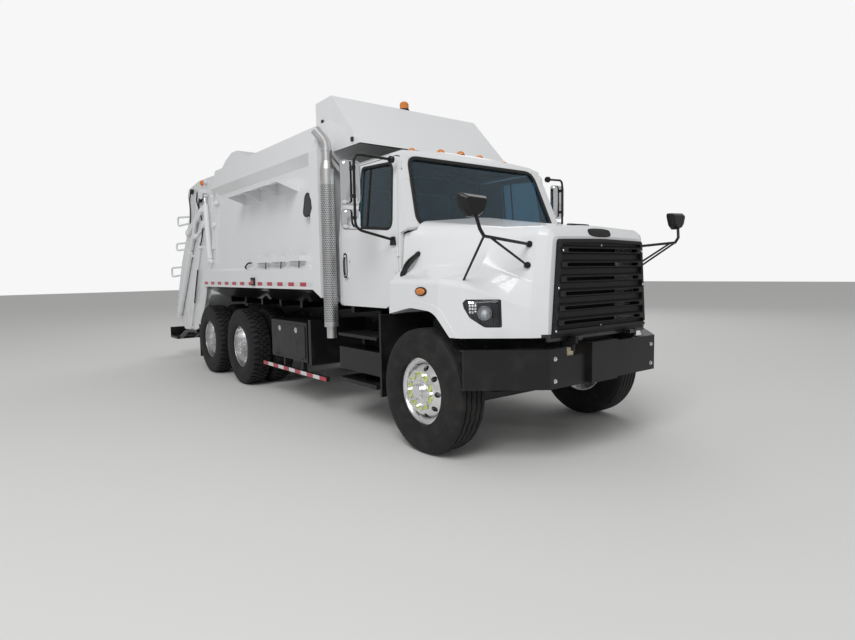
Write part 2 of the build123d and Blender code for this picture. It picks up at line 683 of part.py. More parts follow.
LAMP_RIM = 9
PROJECTOR = (180, 1216)
PROJECTOR_RADIUS = 52
PROJECTOR_WALL = 7
SIDE_BOWL = (252, 1205)
SIDE_BOWL_RADIUS = 34


def hood_face(section, station, inset, low):
    """Cross section of the hood at a station, drawn in by an inset, down to a low edge."""
    crown, shoulder_y, shoulder_z, waist_share, waist_z, fender_z, drawn_in, shoulder_r, waist_r = section
    foot = HOOD_HALF_WIDTH - drawn_in
    waist_y = shoulder_y + waist_share * (foot - shoulder_y)
    right = [(shoulder_y, shoulder_z), (waist_y, waist_z), (foot - FENDER_SLOPE, fender_z)]
    right = [(y - inset, z - inset) for y, z in right] + [(foot - inset, low)]
    points = crowned(crown - inset, right)
    corner_radii = [shoulder_r, waist_r, FENDER_RADIUS, 0]
    return outline_on(cross_view(station), points, [CROWN_RADIUS] + corner_radii + corner_radii[::-1]).face()


def hood_body(inset, low, front, rear):
    """Hood as one closed body between two stations, with every surface drawn in by an inset."""
    stations = [section[0] for section in HOOD_SECTIONS]
    stations[0], stations[-1] = front, rear
    with BuildPart(mode=Mode.PRIVATE) as body:
        loft([hood_face(row[1:], station, inset, low) for row, station in zip(HOOD_SECTIONS, stations)], ruled=True)
    return body.part


def arch_opening(rise, y_from, y_to):
    """Room under a wheel arch that is raised by some amount, down to below the hood."""
    moved = [(ARCH[0][0], ARCH[0][1] + rise), (ARCH[1][0], ARCH[1][1] + rise)]
    moved += [(ARCH[2][0] + rise * 0.7, ARCH[2][1] + rise * 0.7), (ARCH[3][0] + rise, ARCH[3][1])]
    points = moved + [(ARCH[3][0] + rise, HOOD_LOW - 60), (ARCH[0][0], HOOD_LOW - 60)]
    with BuildPart(mode=Mode.PRIVATE) as room:
        side_prism(points, y_from, y_to, radii=ARCH_RADII + [0, 0])
    return room.part


def lamp_face(side, depth):
    """Plane of a headlamp's glass, or one deeper in the lamp, with its own X forward along the swept wall."""
    (front_x, front_y), (rear_x, rear_y) = LAMP_LINE
    along = Vector(front_x - rear_x, side * (front_y - rear_y), 0).normalized()
    outward = Vector(side * -along.Y, side * along.X, 0) * side
    outward = outward if outward.X > 0 else outward * -1
    return Plane(origin=at(rear_x, side * rear_y, 0) - outward * depth, x_dir=along, z_dir=outward)


def lamp_prism(side, outline, depth_from, depth_to, mode=Mode.ADD, radii=None):
    """Prism into the headlamp between two depths, from an outline on the swept wall."""
    plane = lamp_face(side, depth_to)
    flip = plane.y_dir.Z
    points = [(along, z * flip) for along, z in outline]
    extrude(outline_on(plane, points, radii), amount=depth_to - depth_from, mode=mode)


def lamp_ring(side, centre, radius, bore, depth_from, depth_to, mode=Mode.ADD):
    """Round barrel in the headlamp between two depths."""
    plane = lamp_face(side, depth_to)
    with BuildSketch(plane) as ring:
        with Locations((centre[0], centre[1] * plane.y_dir.Z)):
            Circle(radius)
            if bore:
                Circle(bore, mode=Mode.SUBTRACT)
    extrude(ring.sketch, amount=depth_to - depth_from, mode=mode)


with BuildPart() as hood:
    band = hood_body(-ARCH_LIP_PROUD, HOOD_LOW - 20, HOOD_FRONT, HOOD_REAR)
    lip = arch_opening(ARCH_LIP, HOOD_HALF_WIDTH + 20, -HOOD_HALF_WIDTH - 20)
    add(hood_body(0, HOOD_LOW, HOOD_FRONT, HOOD_REAR))
    add((band & lip) - hood_body(HOOD_WALL, HOOD_LOW - 40, HOOD_FRONT, HOOD_REAR + 1))
    add(hood_body(HOOD_WALL, HOOD_LOW - 30, HOOD_FRONT - HOOD_WALL, HOOD_REAR - 20), mode=Mode.SUBTRACT)
    block((HOOD_REAR - 1, HOOD_FRONT), (-1300, 1300), (HOOD_LOW - 60, HOOD_LOW), mode=Mode.SUBTRACT)
    for side in SIDES.values():
        liner = arch_opening(ARCH_LINER, side * LINER_INNER_Y, side * (HOOD_HALF_WIDTH - HOOD_WALL / 2))
        add(liner & hood_body(HOOD_WALL - 1, HOOD_LOW, HOOD_FRONT - HOOD_WALL, HOOD_REAR))
    add(arch_opening(0, HOOD_HALF_WIDTH + 20, -HOOD_HALF_WIDTH - 20), mode=Mode.SUBTRACT)
    opening = crowned(
        GRILLE_TOP + GRILLE_CROWN,
        [(GRILLE_HALF_TOP, GRILLE_TOP), (GRILLE_HALF_LOW - 23, GRILLE_BOTTOM - 20)],
    )
    opening_radii = [CROWN_RADIUS, GRILLE_CORNER, 0, 0, GRILLE_CORNER]
    cross_prism(opening, HOOD_FRONT - 2 * HOOD_WALL, HOOD_FRONT + 10, mode=Mode.SUBTRACT, radii=opening_radii)
    cowl_cut = [(HOOD_REAR - 30, 1885), (-316, 1918), (-316, 1935), (-385, 2120), (HOOD_REAR - 30, 2120)]
    side_prism(cowl_cut, HOOD_HALF_WIDTH, -HOOD_HALF_WIDTH, mode=Mode.SUBTRACT)
    block((HOOD_FRONT - 25, HOOD_FRONT), (-655, 655), (985, 1011))
    for side in SIDES.values():
        lamp_prism(side, grown(LAMP_OUTLINE, SEAT), -30, LAMP_DEPTH + SEAT, mode=Mode.SUBTRACT, radii=LAMP_RADII)
        block((HOOD_FRONT - 25, HOOD_FRONT), (side * 630, side * 655), (985, 1035))
        arm_y = side * (RAIL_OUTER_Y - RAIL_WALL - HINGE_LUG_WIDTH - 4)
        arm_end = arm_y - side * HINGE_BUSH_LENGTH
        block((HOOD_FRONT - 10, HOOD_HINGE_X - HINGE_PIN_RADIUS - 4), (arm_y, arm_end), (990, 1010))
        bar(
            at(HOOD_HINGE_X, arm_y, HOOD_HINGE_Z),
            at(HOOD_HINGE_X, arm_end, HOOD_HINGE_Z),
            HINGE_BUSH_RADIUS,
            bore=HINGE_PIN_RADIUS + 0.5,
        )
save(hood, "hood")

# Grille: a raised panel in a frame, with bevelled bars across it that have a long slot each
GRILLE_PROUD = 46
GRILLE_PANEL_LOW = 1042
GRILLE_SIDE = 30
GRILLE_PLATE = 8
BAR_RISE = 42
BAR_SLOT = 30
BAR_MARGIN = 62


def grille_half(z):
    """Half width of the grille's panel at a height, inside the hood's opening."""
    share = (z - GRILLE_BOTTOM + 20) / (GRILLE_TOP - GRILLE_BOTTOM + 20)
    low_half = GRILLE_HALF_LOW - 23
    return low_half + share * (GRILLE_HALF_TOP - low_half) - SEAT


def grille_panel(low, inset):
    """Outline of the panel down to a low edge, drawn in by an inset, and its corner radii."""
    top = GRILLE_TOP - SEAT - inset
    half = [(grille_half(top) - inset, top), (grille_half(low) - inset, low + inset)]
    points = crowned(top + GRILLE_CROWN, half)
    corner = GRILLE_CORNER - inset * 0.6
    return points, [CROWN_RADIUS, corner, 0, 0, corner]


with BuildPart() as grille:
    rear_frame, rear_radii = grille_panel(GRILLE_BOTTOM, 0)
    cross_prism(rear_frame, HOOD_FRONT - GRILLE_DEPTH + 5, HOOD_FRONT + 4, radii=rear_radii)
    proud_frame, proud_radii = grille_panel(GRILLE_PANEL_LOW, 3)
    cross_prism(proud_frame, HOOD_FRONT, HOOD_FRONT + GRILLE_PROUD - 10, radii=proud_radii)
    window, window_radii = grille_panel(GRILLE_PANEL_LOW, GRILLE_SIDE)
    cross_prism(window, HOOD_FRONT - 100, HOOD_FRONT + 100, mode=Mode.SUBTRACT, radii=window_radii)
    cross_prism(window, HOOD_FRONT, HOOD_FRONT + GRILLE_PLATE, radii=window_radii)
    rows_low, rows_top = GRILLE_PANEL_LOW + GRILLE_SIDE, GRILLE_TOP - GRILLE_SIDE
    pitch = (rows_top - rows_low) / GRILLE_ROWS
    for row in range(GRILLE_ROWS):
        z = rows_low + (row + 0.5) * pitch
        half = grille_half(z) - GRILLE_SIDE + 1
        bevelled = [
            (HOOD_FRONT + 2, z + BAR_RISE),
            (HOOD_FRONT + GRILLE_PROUD, z + BAR_RISE / 2),
            (HOOD_FRONT + GRILLE_PROUD, z - BAR_RISE / 2),
            (HOOD_FRONT + 2, z - BAR_RISE * 0.8),
        ]
        side_prism(bevelled, half, -half)
        with BuildSketch(cross_view(HOOD_FRONT - 10)) as slot:
            with Locations((0, z)):
                SlotOverall(2 * (half - BAR_MARGIN), BAR_SLOT)
        extrude(slot.sketch, amount=GRILLE_PROUD + 20, mode=Mode.SUBTRACT)
save(grille, "grille")

# Headlamps: a dark housing in the swept wall of each fender, with a projector barrel and a side bowl
with BuildPart() as headlamps:
    for side in SIDES.values():
        lamp_prism(side, LAMP_OUTLINE, 0, LAMP_DEPTH, radii=LAMP_RADII)
        pocket_radii = [max(radius - LAMP_RIM, 3) for radius in LAMP_RADII]
        lamp_prism(side, grown(LAMP_OUTLINE, -LAMP_RIM), -1, LAMP_POCKET, mode=Mode.SUBTRACT, radii=pocket_radii)
        for centre, radius in ((PROJECTOR, PROJECTOR_RADIUS), (SIDE_BOWL, SIDE_BOWL_RADIUS)):
            lamp_ring(side, centre, radius - PROJECTOR_WALL, 0, LAMP_POCKET - 1, LAMP_DEPTH - 14, mode=Mode.SUBTRACT)
            lamp_ring(side, centre, radius, radius - PROJECTOR_WALL, 4, LAMP_POCKET + 1)
save(headlamps, "headlamps")

# Hood mirrors: a boat shaped head on a bent stem, with two struts to pads on the nose and one to the fender
MIRROR_TUBE = 13
STRUT_RADIUS = 9
FOOT_SINK = 12
PAD_RADIUS = 24
PAD_LENGTH = 16
STEM_BEND = 45
HOOD_MIRROR = {
    "head": (860, 1345, 1945),
    "elbow": (880, 1320, 1790),
    "upper_foot": (793, 721, 1742),
    "lower_foot": (802, 754, 1581),
    "rear_foot": (450, 1100, 1465),
}
MIRROR_HEAD = [(-118, 84), (112, 92), (126, 70), (95, -20), (48, -66), (-30, -70), (-92, -28), (-128, 62)]
MIRROR_HEAD_RADII = [14, 14, 20, 60, 30, 30, 60, 20]
with BuildPart() as hood_mirrors:
    for side in SIDES.values():
        place = {key: at(x, side * y, z) for key, (x, y, z) in HOOD_MIRROR.items()}
        toward_pad = (place["upper_foot"] - place["elbow"]).normalized()
        bend_up = place["elbow"] + Vector(0, 0, STEM_BEND)
        bend_in = place["elbow"] + toward_pad * STEM_BEND
        bar(bend_up, place["head"], MIRROR_TUBE)
        bar(bend_up, bend_in, MIRROR_TUBE)
        for joint_spot in (bend_up, bend_in):
            with BuildPart(mode=Mode.PRIVATE) as ball:
                with Locations(joint_spot):
                    Sphere(MIRROR_TUBE)
            add(ball.part)
        for foot, start, radius in (
            ("upper_foot", bend_in, MIRROR_TUBE - 1),
            ("lower_foot", bend_in + toward_pad * 70, STRUT_RADIUS),
            ("rear_foot", bend_in, STRUT_RADIUS),
        ):
            strut = place[foot] - start
            bar(start, place[foot] + strut.normalized() * FOOT_SINK, radius)
        for foot in ("upper_foot", "lower_foot"):
            outward = Vector(0.87, side * 0.48, 0.08)
            bar(place[foot] - outward * FOOT_SINK, place[foot] + outward * PAD_LENGTH, PAD_RADIUS)
        x, y, z = HOOD_MIRROR["head"]
        faces = []
        for station, share in ((x - 50, 1.0), (x - 15, 1.0), (x + 22, 0.74)):
            points = [(side * (y + across * share), z + 40 + rise * share) for across, rise in MIRROR_HEAD]
            radii = [radius * share for radius in MIRROR_HEAD_RADII]
            faces.append(outline_on(cross_view(station), points, radii).face())
        loft(faces, ruled=True)
    add(hood.part, mode=Mode.SUBTRACT)
save(hood_mirrors, "hood_mirrors")

# Cab: a hollow shell with openings for its doors and glass
CAB_SECTION = [(CAB_HALF_ROOF - 110, CAB_ROOF), (CAB_HALF_ROOF, CAB_ROOF - 60), (CAB_HALF, CAB_BELT), (CAB_HALF, CAB_LOW)]
CAB_INNER = [
    (CAB_HALF_ROOF - 130, CAB_ROOF - CAB_WALL),
    (CAB_HALF_ROOF - CAB_WALL, CAB_ROOF - 60 - CAB_WALL),
    (CAB_HALF - CAB_WALL, CAB_BELT),
    (CAB_HALF - CAB_WALL, CAB_LOW + CAB_WALL),
]
WINDSHIELD_BASE = (-330, 1930)
WINDSHIELD_TOP = (-600, 2640)
CAB_SIDE = [
    (CAB_REAR, CAB_LOW),
    (CAB_FRONT, CAB_LOW),
    (CAB_FRONT, 1900),
    WINDSHIELD_BASE,
    WINDSHIELD_TOP,
    (-730, CAB_ROOF + CAB_CROWN - 12),
    (-950, CAB_ROOF + CAB_CROWN + 2),
    (CAB_REAR, CAB_ROOF + CAB_CROWN + 2),
]
CAB_INNER_SIDE = [
    (CAB_REAR + CAB_WALL, CAB_LOW + CAB_WALL),
    (CAB_FRONT - CAB_WALL, CAB_LOW + CAB_WALL),
    (CAB_FRONT - CAB_WALL, 1890),
    (WINDSHIELD_BASE[0] - CAB_WALL, WINDSHIELD_BASE[1] - CAB_WALL),
    (WINDSHIELD_TOP[0] - CAB_WALL, WINDSHIELD_TOP[1]),
    (-745, CAB_ROOF + CAB_CROWN - CAB_WALL - 12),
    (CAB_REAR + CAB_WALL, CAB_ROOF + CAB_CROWN - CAB_WALL),
]
DOOR_OUTLINE = [
    (DOOR_REAR, CAB_LOW + 5),
    (-700, CAB_LOW + 5),
    (-500, 1290),
    (DOOR_FRONT, 1500),
    (DOOR_FRONT, 1890),
    (-560, DOOR_TOP - 40),
    (-600, DOOR_TOP),
    (DOOR_REAR, DOOR_TOP),
]
WINDOW_OUTLINE = [(-1175, 1995), (-582, 1940), (-640, 2555), (-1175, 2580)]
WINDOW_RADII = [35, 75, 60, 25]
WINDSHIELD_HALF = (930, 850)
WINDSHIELD_RADII = [95, 95, 80, 80]
CAB_SECTION_RADII = [3000, 120, 45, 0, 30, 30, 0, 45, 120]
CAB_SIDE_RADII = [0, 0, 0, 25, 60, 120, 500, 30]
CAB_MOUNTS = (-560, -1470)
DOOR_HINGES = (1505, 1690)
HINGE_KNUCKLE = 38
HINGE_PIN = 6


with BuildPart() as cab_shell:
    cross_prism(crowned(CAB_ROOF + CAB_CROWN, CAB_SECTION), CAB_REAR, WINDSHIELD_BASE[0], radii=CAB_SECTION_RADII)
    side_prism(CAB_SIDE, CAB_HALF, -CAB_HALF, mode=Mode.INTERSECT, radii=CAB_SIDE_RADII)
    with BuildPart(mode=Mode.PRIVATE) as cab_room:
        cross_prism(crowned(CAB_ROOF + CAB_CROWN - CAB_WALL, CAB_INNER), CAB_REAR + CAB_WALL, WINDSHIELD_BASE[0])
        side_prism(CAB_INNER_SIDE, CAB_HALF, -CAB_HALF, mode=Mode.INTERSECT)
    add(cab_room.part, mode=Mode.SUBTRACT)
    for side in SIDES.values():
        side_prism(grown(DOOR_OUTLINE, DOOR_GAP), side * (CAB_HALF + 5), side * (CAB_HALF_ROOF - 140), mode=Mode.SUBTRACT)
    lean = Plane(
        origin=at(WINDSHIELD_BASE[0], 0, WINDSHIELD_BASE[1]),
        x_dir=(0, 1, 0),
        z_dir=(WINDSHIELD_TOP[1] - WINDSHIELD_BASE[1], 0, WINDSHIELD_BASE[0] - WINDSHIELD_TOP[0]),
    )
    rise = hypot(WINDSHIELD_TOP[0] - WINDSHIELD_BASE[0], WINDSHIELD_TOP[1] - WINDSHIELD_BASE[1])
    screen = [
        (-WINDSHIELD_HALF[0], 40),
        (WINDSHIELD_HALF[0], 40),
        (WINDSHIELD_HALF[1], rise - 30),
        (-WINDSHIELD_HALF[1], rise - 30),
    ]
    extrude(outline_on(lean, screen, WINDSHIELD_RADII), amount=60, both=True, mode=Mode.SUBTRACT)
    block((CAB_REAR - 5, CAB_REAR + CAB_WALL + 5), (-420, 420), (1960, 2420), mode=Mode.SUBTRACT)
    for side in SIDES.values():
        for station in CAB_MOUNTS:
            block(
                (station - 60, station + 60),
                (side * (RAIL_OUTER_Y - RAIL_FLANGE), side * RAIL_OUTER_Y),
                (RAIL_TOP + SEAT, CAB_LOW + CAB_WALL / 2),
            )
        for height in DOOR_HINGES:
            foot = at(DOOR_HINGE_X, side * (CAB_HALF + DOOR_HINGE_OUT), height)
            bar(foot, foot + Vector(0, 0, HINGE_KNUCKLE - 1), DOOR_HINGE_OUT)
            bar(foot, foot + Vector(0, 0, 2 * HINGE_KNUCKLE), HINGE_PIN)
            block(
                (DOOR_HINGE_X, CAB_FRONT - 2),
                (side * (CAB_HALF - 2), side * (CAB_HALF + 6)),
                (height, height + HINGE_KNUCKLE - 1),
            )
save(cab_shell, "cab_shell")

with BuildPart() as cab_glass:
    pane = [(y + (SEAT if y < 0 else -SEAT), z + (SEAT if z < rise / 2 else -SEAT)) for y, z in screen]
    extrude(outline_on(lean, pane, WINDSHIELD_RADII), amount=-GLASS - 12)
    extrude(outline_on(lean, pane, WINDSHIELD_RADII), amount=-12, mode=Mode.SUBTRACT)
    block((CAB_REAR + 12, CAB_REAR + 12 + GLASS), (-420 + SEAT, 420 - SEAT), (1960 + SEAT, 2420 - SEAT))
save(cab_glass, "cab_glass")

# Doors with a window each, and a mirror carried on each door
WALL_STRIP = CAB_SECTION[1:]
DOOR_MIRROR = {
    "top_foot": (-545, CAB_HALF - 5, 2560),
    "top_outer": (-640, CAB_HALF + 360, 2590),
    "bottom_outer": (-640, CAB_HALF + 360, 1930),
    "bottom_foot": (-545, CAB_HALF + 15, 1840),
}
for name, side in SIDES.items():
    with BuildPart() as door:
        strip = [(y, z) for y, z in WALL_STRIP] + [(y - CAB_WALL, z) for y, z in reversed(WALL_STRIP)]
        cross_prism([(side * y, z) for y, z in strip], DOOR_REAR, CAB_FRONT)
        side_prism(DOOR_OUTLINE, CAB_HALF + 5, -CAB_HALF - 5, mode=Mode.INTERSECT)
        side_prism(WINDOW_OUTLINE, CAB_HALF + 5, -CAB_HALF - 5, mode=Mode.SUBTRACT, radii=WINDOW_RADII)
        handle = [(-1430, 1500), (-1370, 1500), (-1370, 1745), (-1430, 1745)]
        side_prism(handle, side * (CAB_HALF - 5), side * (CAB_HALF + 22))
        for height in DOOR_HINGES:
            foot = at(DOOR_HINGE_X, side * (CAB_HALF + DOOR_HINGE_OUT), height + HINGE_KNUCKLE)
            top = foot + Vector(0, 0, HINGE_KNUCKLE)
            bar(foot, top, DOOR_HINGE_OUT)
            leaf_z = (height + HINGE_KNUCKLE, height + 2 * HINGE_KNUCKLE)
            block((DOOR_FRONT - 50, DOOR_HINGE_X), (side * (CAB_HALF - 1), side * (CAB_HALF + 6)), leaf_z)
            bar(foot, top, HINGE_PIN + SEAT, mode=Mode.SUBTRACT)
    save(door, f"door_{name}")
    with BuildPart() as door_glass:
        pane_strip = [(y - 16, z) for y, z in WALL_STRIP[:2]] + [(y - 16 - GLASS, z) for y, z in reversed(WALL_STRIP[:2])]
        cross_prism([(side * y, z) for y, z in pane_strip], DOOR_REAR, CAB_FRONT)
        pane = grown(WINDOW_OUTLINE, -0.5)
        side_prism(pane, CAB_HALF + 5, -CAB_HALF - 5, mode=Mode.INTERSECT, radii=WINDOW_RADII)
    save(door_glass, f"door_glass_{name}")
    with BuildPart() as door_mirror:
        place = {key: at(x, side * y, z) for key, (x, y, z) in DOOR_MIRROR.items()}
        bar(place["top_foot"], place["top_outer"], MIRROR_TUBE)
        bar(place["top_outer"] + Vector(0, 0, MIRROR_TUBE), place["bottom_outer"] - Vector(0, 0, MIRROR_TUBE), MIRROR_TUBE)
        bar(place["bottom_outer"], place["bottom_foot"], MIRROR_TUBE)
        block((-585, -505), (side * (CAB_HALF + SEAT), side * (CAB_HALF + 22)), (1790, 1870))
        x, y, z = DOOR_MIRROR["top_outer"]
        block((x - 75, x - 12), (side * (y - 105), side * (y + 95)), (2150, 2540))
        block((x - 75, x - 12), (side * (y - 100), side * (y + 90)), (1935, 2110))
    save(door_mirror, f"door_mirror_{name}")

# Cab inside: seats, dashboard with the steering wheel
with BuildPart() as seats:
    for side in SIDES.values():
        block((-1400, -930), (side * 300, side * 780), (1560, 1700))
        back = [(-1330, 1700), (-1240, 1700), (-1330, 2330), (-1430, 2330)]
        side_prism(back, side * 320, side * 760)
        block((-1300, -970), (side * 400, side * 680), (CAB_LOW + CAB_WALL + SEAT, 1560))
save(seats, "seats")

WHEEL_TILT = 35
with BuildPart() as dashboard:
    console = [(CAB_FRONT - CAB_WALL - SEAT, 1500), (CAB_FRONT - CAB_WALL - SEAT, 1870), (-620, 1890), (-760, 1780), (-700, 1500)]
    side_prism(console, 940, -940)
    column_start = at(-640, 480, 1700)
    tilt = Vector(-cos(radians(WHEEL_TILT)), 0, sin(radians(WHEEL_TILT)))
    column_end = column_start + tilt * 170
    bar(column_start, column_end, 28)
    rim_plane = Plane(origin=column_end, z_dir=tilt)
    with BuildSketch(rim_plane) as spokes:
        Circle(215)
        Circle(190, mode=Mode.SUBTRACT)
        Rectangle(400, 34)
    extrude(spokes.sketch, amount=22)
save(dashboard, "dashboard")

# Cab shield: the wedge hood over the cab, with its beacon and the roof lamps
SHIELD_HALF = 1020
SHIELD_SHEET = 20
SHIELD_PEAK = BODY_ROOF + 276
SHIELD_BACK = BODY_ROOF + 265
SHIELD_LOW = 2830
SHIELD = [
    (-1150, SHIELD_LOW),
    (-1710, SHIELD_PEAK),
    (-2060, SHIELD_BACK),
    (-2060, BODY_ROOF + SEAT),
    (BODY_FRONT + SEAT, BODY_ROOF + SEAT),
    (BODY_FRONT + SEAT, SHIELD_LOW),
]
SHIELD_ROOM = [
    (-1190, SHIELD_LOW - 10),
    (-1718, SHIELD_PEAK - 26),
    (-2040, SHIELD_BACK - 23),
    (-2040, BODY_ROOF - 5),
    (BODY_FRONT - 10, BODY_ROOF - 5),
    (BODY_FRONT + 5, SHIELD_LOW - 10),
]
with BuildPart() as cab_shield:
    side_prism(SHIELD, SHIELD_HALF, -SHIELD_HALF)
    side_prism(SHIELD_ROOM, SHIELD_HALF - SHIELD_SHEET, -SHIELD_HALF + SHIELD_SHEET, mode=Mode.SUBTRACT)
save(cab_shield, "cab_shield")

BEACON_X = -1800
BEACON_RADIUS = 62
ROOF_LAMP_Y = [-640, -270, 0, 270, 640]
ROOF_LAMP_HALF = 35
CROWN_FALL = 9
with BuildPart() as lamps_amber:
    (peak_x, peak_z), (back_x, back_z) = SHIELD[1:3]
    beacon_foot = peak_z + (BEACON_X + BEACON_RADIUS - peak_x) * (back_z - peak_z) / (back_x - peak_x) + SEAT
    bar(at(BEACON_X, 0, beacon_foot), at(BEACON_X, 0, SHIELD_PEAK + 124), BEACON_RADIUS)
    for y in ROOF_LAMP_Y:
        fall = CAB_CROWN * (abs(y) - ROOF_LAMP_HALF) / CAB_SECTION[0][0] if y else CROWN_FALL
        foot = CAB_ROOF + CAB_CROWN - fall + SEAT
        block((-860, -770), (y - ROOF_LAMP_HALF, y + ROOF_LAMP_HALF), (foot, foot + 28))
save(lamps_amber, "lamps_amber")

# Load body: hollow, open at the rear, with folded sills and top rails
BODY_SECTION = [
    (1080, BODY_ROOF),
    (1160, 3100),
    (BODY_WIDTH / 2, RAIL_STRIP_TOP),
    (BODY_WALL_Y, RAIL_STRIP_LOW),
    (BODY_WALL_Y, SILL_TOP + 45),
    (BODY_WIDTH / 2, SILL_TOP),
    (BODY_WIDTH / 2, SILL_LOW),
    (1120, 1330),
    (860, BODY_FLOOR),
]
BODY_ROOM = [
    (1050, BODY_ROOF - BODY_SHEET),
    (BODY_WALL_Y - BODY_SHEET, 3060),
    (BODY_WALL_Y - BODY_SHEET, 1350),
    (840, BODY_FLOOR + BODY_SHEET),
]
REAR_EDGE = [(-5050, BODY_ROOF + 10), (-5080, 2890), (-5570, 1790), (-5680, 1350), (-5730, BODY_FLOOR - 10)]
FRONT_POST = 190
REAR_RIB = [(-4925, 2960), (-4840, 2960), (-5220, 1950), (-5305, 1950)]
HUMP_HALF = 1080
HUMP = [
    (-4985, BODY_ROOF - 5),
    (-4950, BODY_ROOF + 110),
    (-4800, BODY_ROOF + 205),
    (-4560, BODY_ROOF + 195),
    (-4180, BODY_ROOF + 75),
    (-3880, BODY_ROOF - 5),
]
LIFT_PIN = (-5350, 1760)
LIFT_EYE = (-5470, 2770)
LIFT_PIN_RADIUS = 20
with BuildPart() as body_shell:
    cross_prism(mirrored(BODY_SECTION), -5740, BODY_FRONT)
    for side in SIDES.values():
        front_post = [
            (BODY_FRONT - FRONT_POST, SILL_LOW),
            (BODY_FRONT, SILL_LOW - 85),
            (BODY_FRONT, RAIL_STRIP_TOP),
            (BODY_FRONT - FRONT_POST, RAIL_STRIP_TOP),
        ]
        side_prism(front_post, side * 1100, side * BODY_WIDTH / 2)
        side_prism(REAR_RIB, side * 1100, side * (BODY_WALL_Y + 30))
    side_prism([(BODY_FRONT + 1, BODY_FLOOR - 10), (BODY_FRONT + 1, BODY_ROOF + 10)] + REAR_EDGE, 1300, -1300, mode=Mode.INTERSECT)
    cross_prism(mirrored(BODY_ROOM), -5800, BODY_FRONT - BODY_SHEET, mode=Mode.SUBTRACT)
    with BuildPart(mode=Mode.PRIVATE) as hump:
        side_prism(HUMP, HUMP_HALF, -HUMP_HALF)
        hump_section = [(HUMP_HALF, BODY_ROOF - 5), (HUMP_HALF - 130, BODY_ROOF + 300)]
        cross_prism(mirrored(hump_section), -5200, -3800, mode=Mode.INTERSECT)
    add(hump.part)
    for side in SIDES.values():
        notch_y = (side * 931, side * 1009)
        block((-5100, -4930), notch_y, (BODY_ROOF - BODY_SHEET - 60, BODY_ROOF + 20), mode=Mode.SUBTRACT)
    for side in SIDES.values():
        ear = [(-4800, BODY_ROOF - 5), (-4800, 3150), (-4985, 3150), (-5060, 3065), (-5055, 2995), (-4900, 2995)]
        side_prism(ear, side * 900, side * 930)
        side_prism(ear, side * 1010, side * 1040)
        bar(at(TAILGATE_HINGE[0], side * 900, TAILGATE_HINGE[1]), at(TAILGATE_HINGE[0], side * 1040, TAILGATE_HINGE[1]), 22)
    for side in SIDES.values():
        bar(at(LIFT_PIN[0], side * (BODY_WALL_Y - 5), LIFT_PIN[1]), at(LIFT_PIN[0], side * 1245, LIFT_PIN[1]), LIFT_PIN_RADIUS)
    porthole = [(-2045, 2200), (-1990, 2165), (-1880, 2175), (-1835, 2240), (-1850, 2330), (-1910, 2420), (-1985, 2400)]
    side_prism(porthole, 1300, -1300, mode=Mode.SUBTRACT)
save(body_shell, "body_shell")

# Body frame: two long sills on the rails, and the cross beams under the body's floor
CROSS_BEAM = 90
CROSS_BEAM_PITCH = 640
with BuildPart() as body_frame:
    for side in SIDES.values():
        sill_y = (side * (RAIL_OUTER_Y - RAIL_FLANGE), side * RAIL_OUTER_Y)
        block((-5700, -1740), sill_y, (RAIL_TOP + SEAT, BODY_FLOOR - CROSS_BEAM - SEAT))
    for station in range(-5550, -1700, CROSS_BEAM_PITCH):
        block((station, station + 60), (-840, 840), (BODY_FLOOR - CROSS_BEAM, BODY_FLOOR - SEAT))
save(body_frame, "body_frame")

EJECTOR_FRONT = -1980
EJECTOR_TOP = 2985
with BuildPart() as ejector:
    block((EJECTOR_FRONT - 60, EJECTOR_FRONT), (-1085, 1085), (1375, EJECTOR_TOP))
    block((EJECTOR_FRONT - 60, EJECTOR_FRONT + 200), (-780, 780), (BODY_FLOOR + BODY_SHEET + SEAT, 1400))
    for side in SIDES.values():
        brace = [(EJECTOR_FRONT - 5, 1395), (EJECTOR_FRONT - 5, 2700), (EJECTOR_FRONT + 200, 1395)]
        side_prism(brace, side * 500, side * 540)
save(ejector, "ejector")

# Tool racks on the right wall
RACK_REAR = -3900
RACK_FRONT = -2300
RACK_OUT = 260
RACK_SLOTS = (-3640, -3100, -2560)
with BuildPart() as tool_racks:
    wall = -BODY_WALL_Y - SEAT
    shelf_edge = wall - RACK_OUT
    shelf = [(wall, 2640), (wall, 2480), (wall - 8, 2480), (wall - 8, 2626), (shelf_edge, 2562), (shelf_edge, 2575)]
    cross_prism(shelf, RACK_REAR, RACK_FRONT)
    for station in RACK_SLOTS:
        slot = [
            (station - 30, shelf_edge - 5),
            (station + 30, shelf_edge - 5),
            (station + 30, shelf_edge + 120),
            (station - 30, shelf_edge + 120),
        ]
        plan_prism(slot, 2500, 2700, mode=Mode.SUBTRACT, radii=[0, 0, 29, 29])
    gusset_pitch = (RACK_FRONT - 8 - RACK_REAR) / 3
    for index in range(4):
        station = RACK_REAR + index * gusset_pitch
        gusset = [(wall - 8, 2480), (wall - 8, 2625), (shelf_edge + 10, 2562)]
        cross_prism(gusset, station, station + 8)
    for rear, front in ((-3500, -3090), (-3030, -2630), (-2540, -2140)):
        block((rear, rear + 110), (wall, wall - 70), (1680, 1790))
        cup = [(wall, 1690), (wall, 1750), (wall - 8, 1750), (wall - 8, 1698), (wall - 82, 1698), (wall - 82, 1750)]
        cup += [(wall - 90, 1750), (wall - 90, 1690)]
        cross_prism(cup, rear + 105, front)
        block((front - 8, front), (wall - 4, wall - 86), (1694, 1750))
save(tool_racks, "tool_racks")

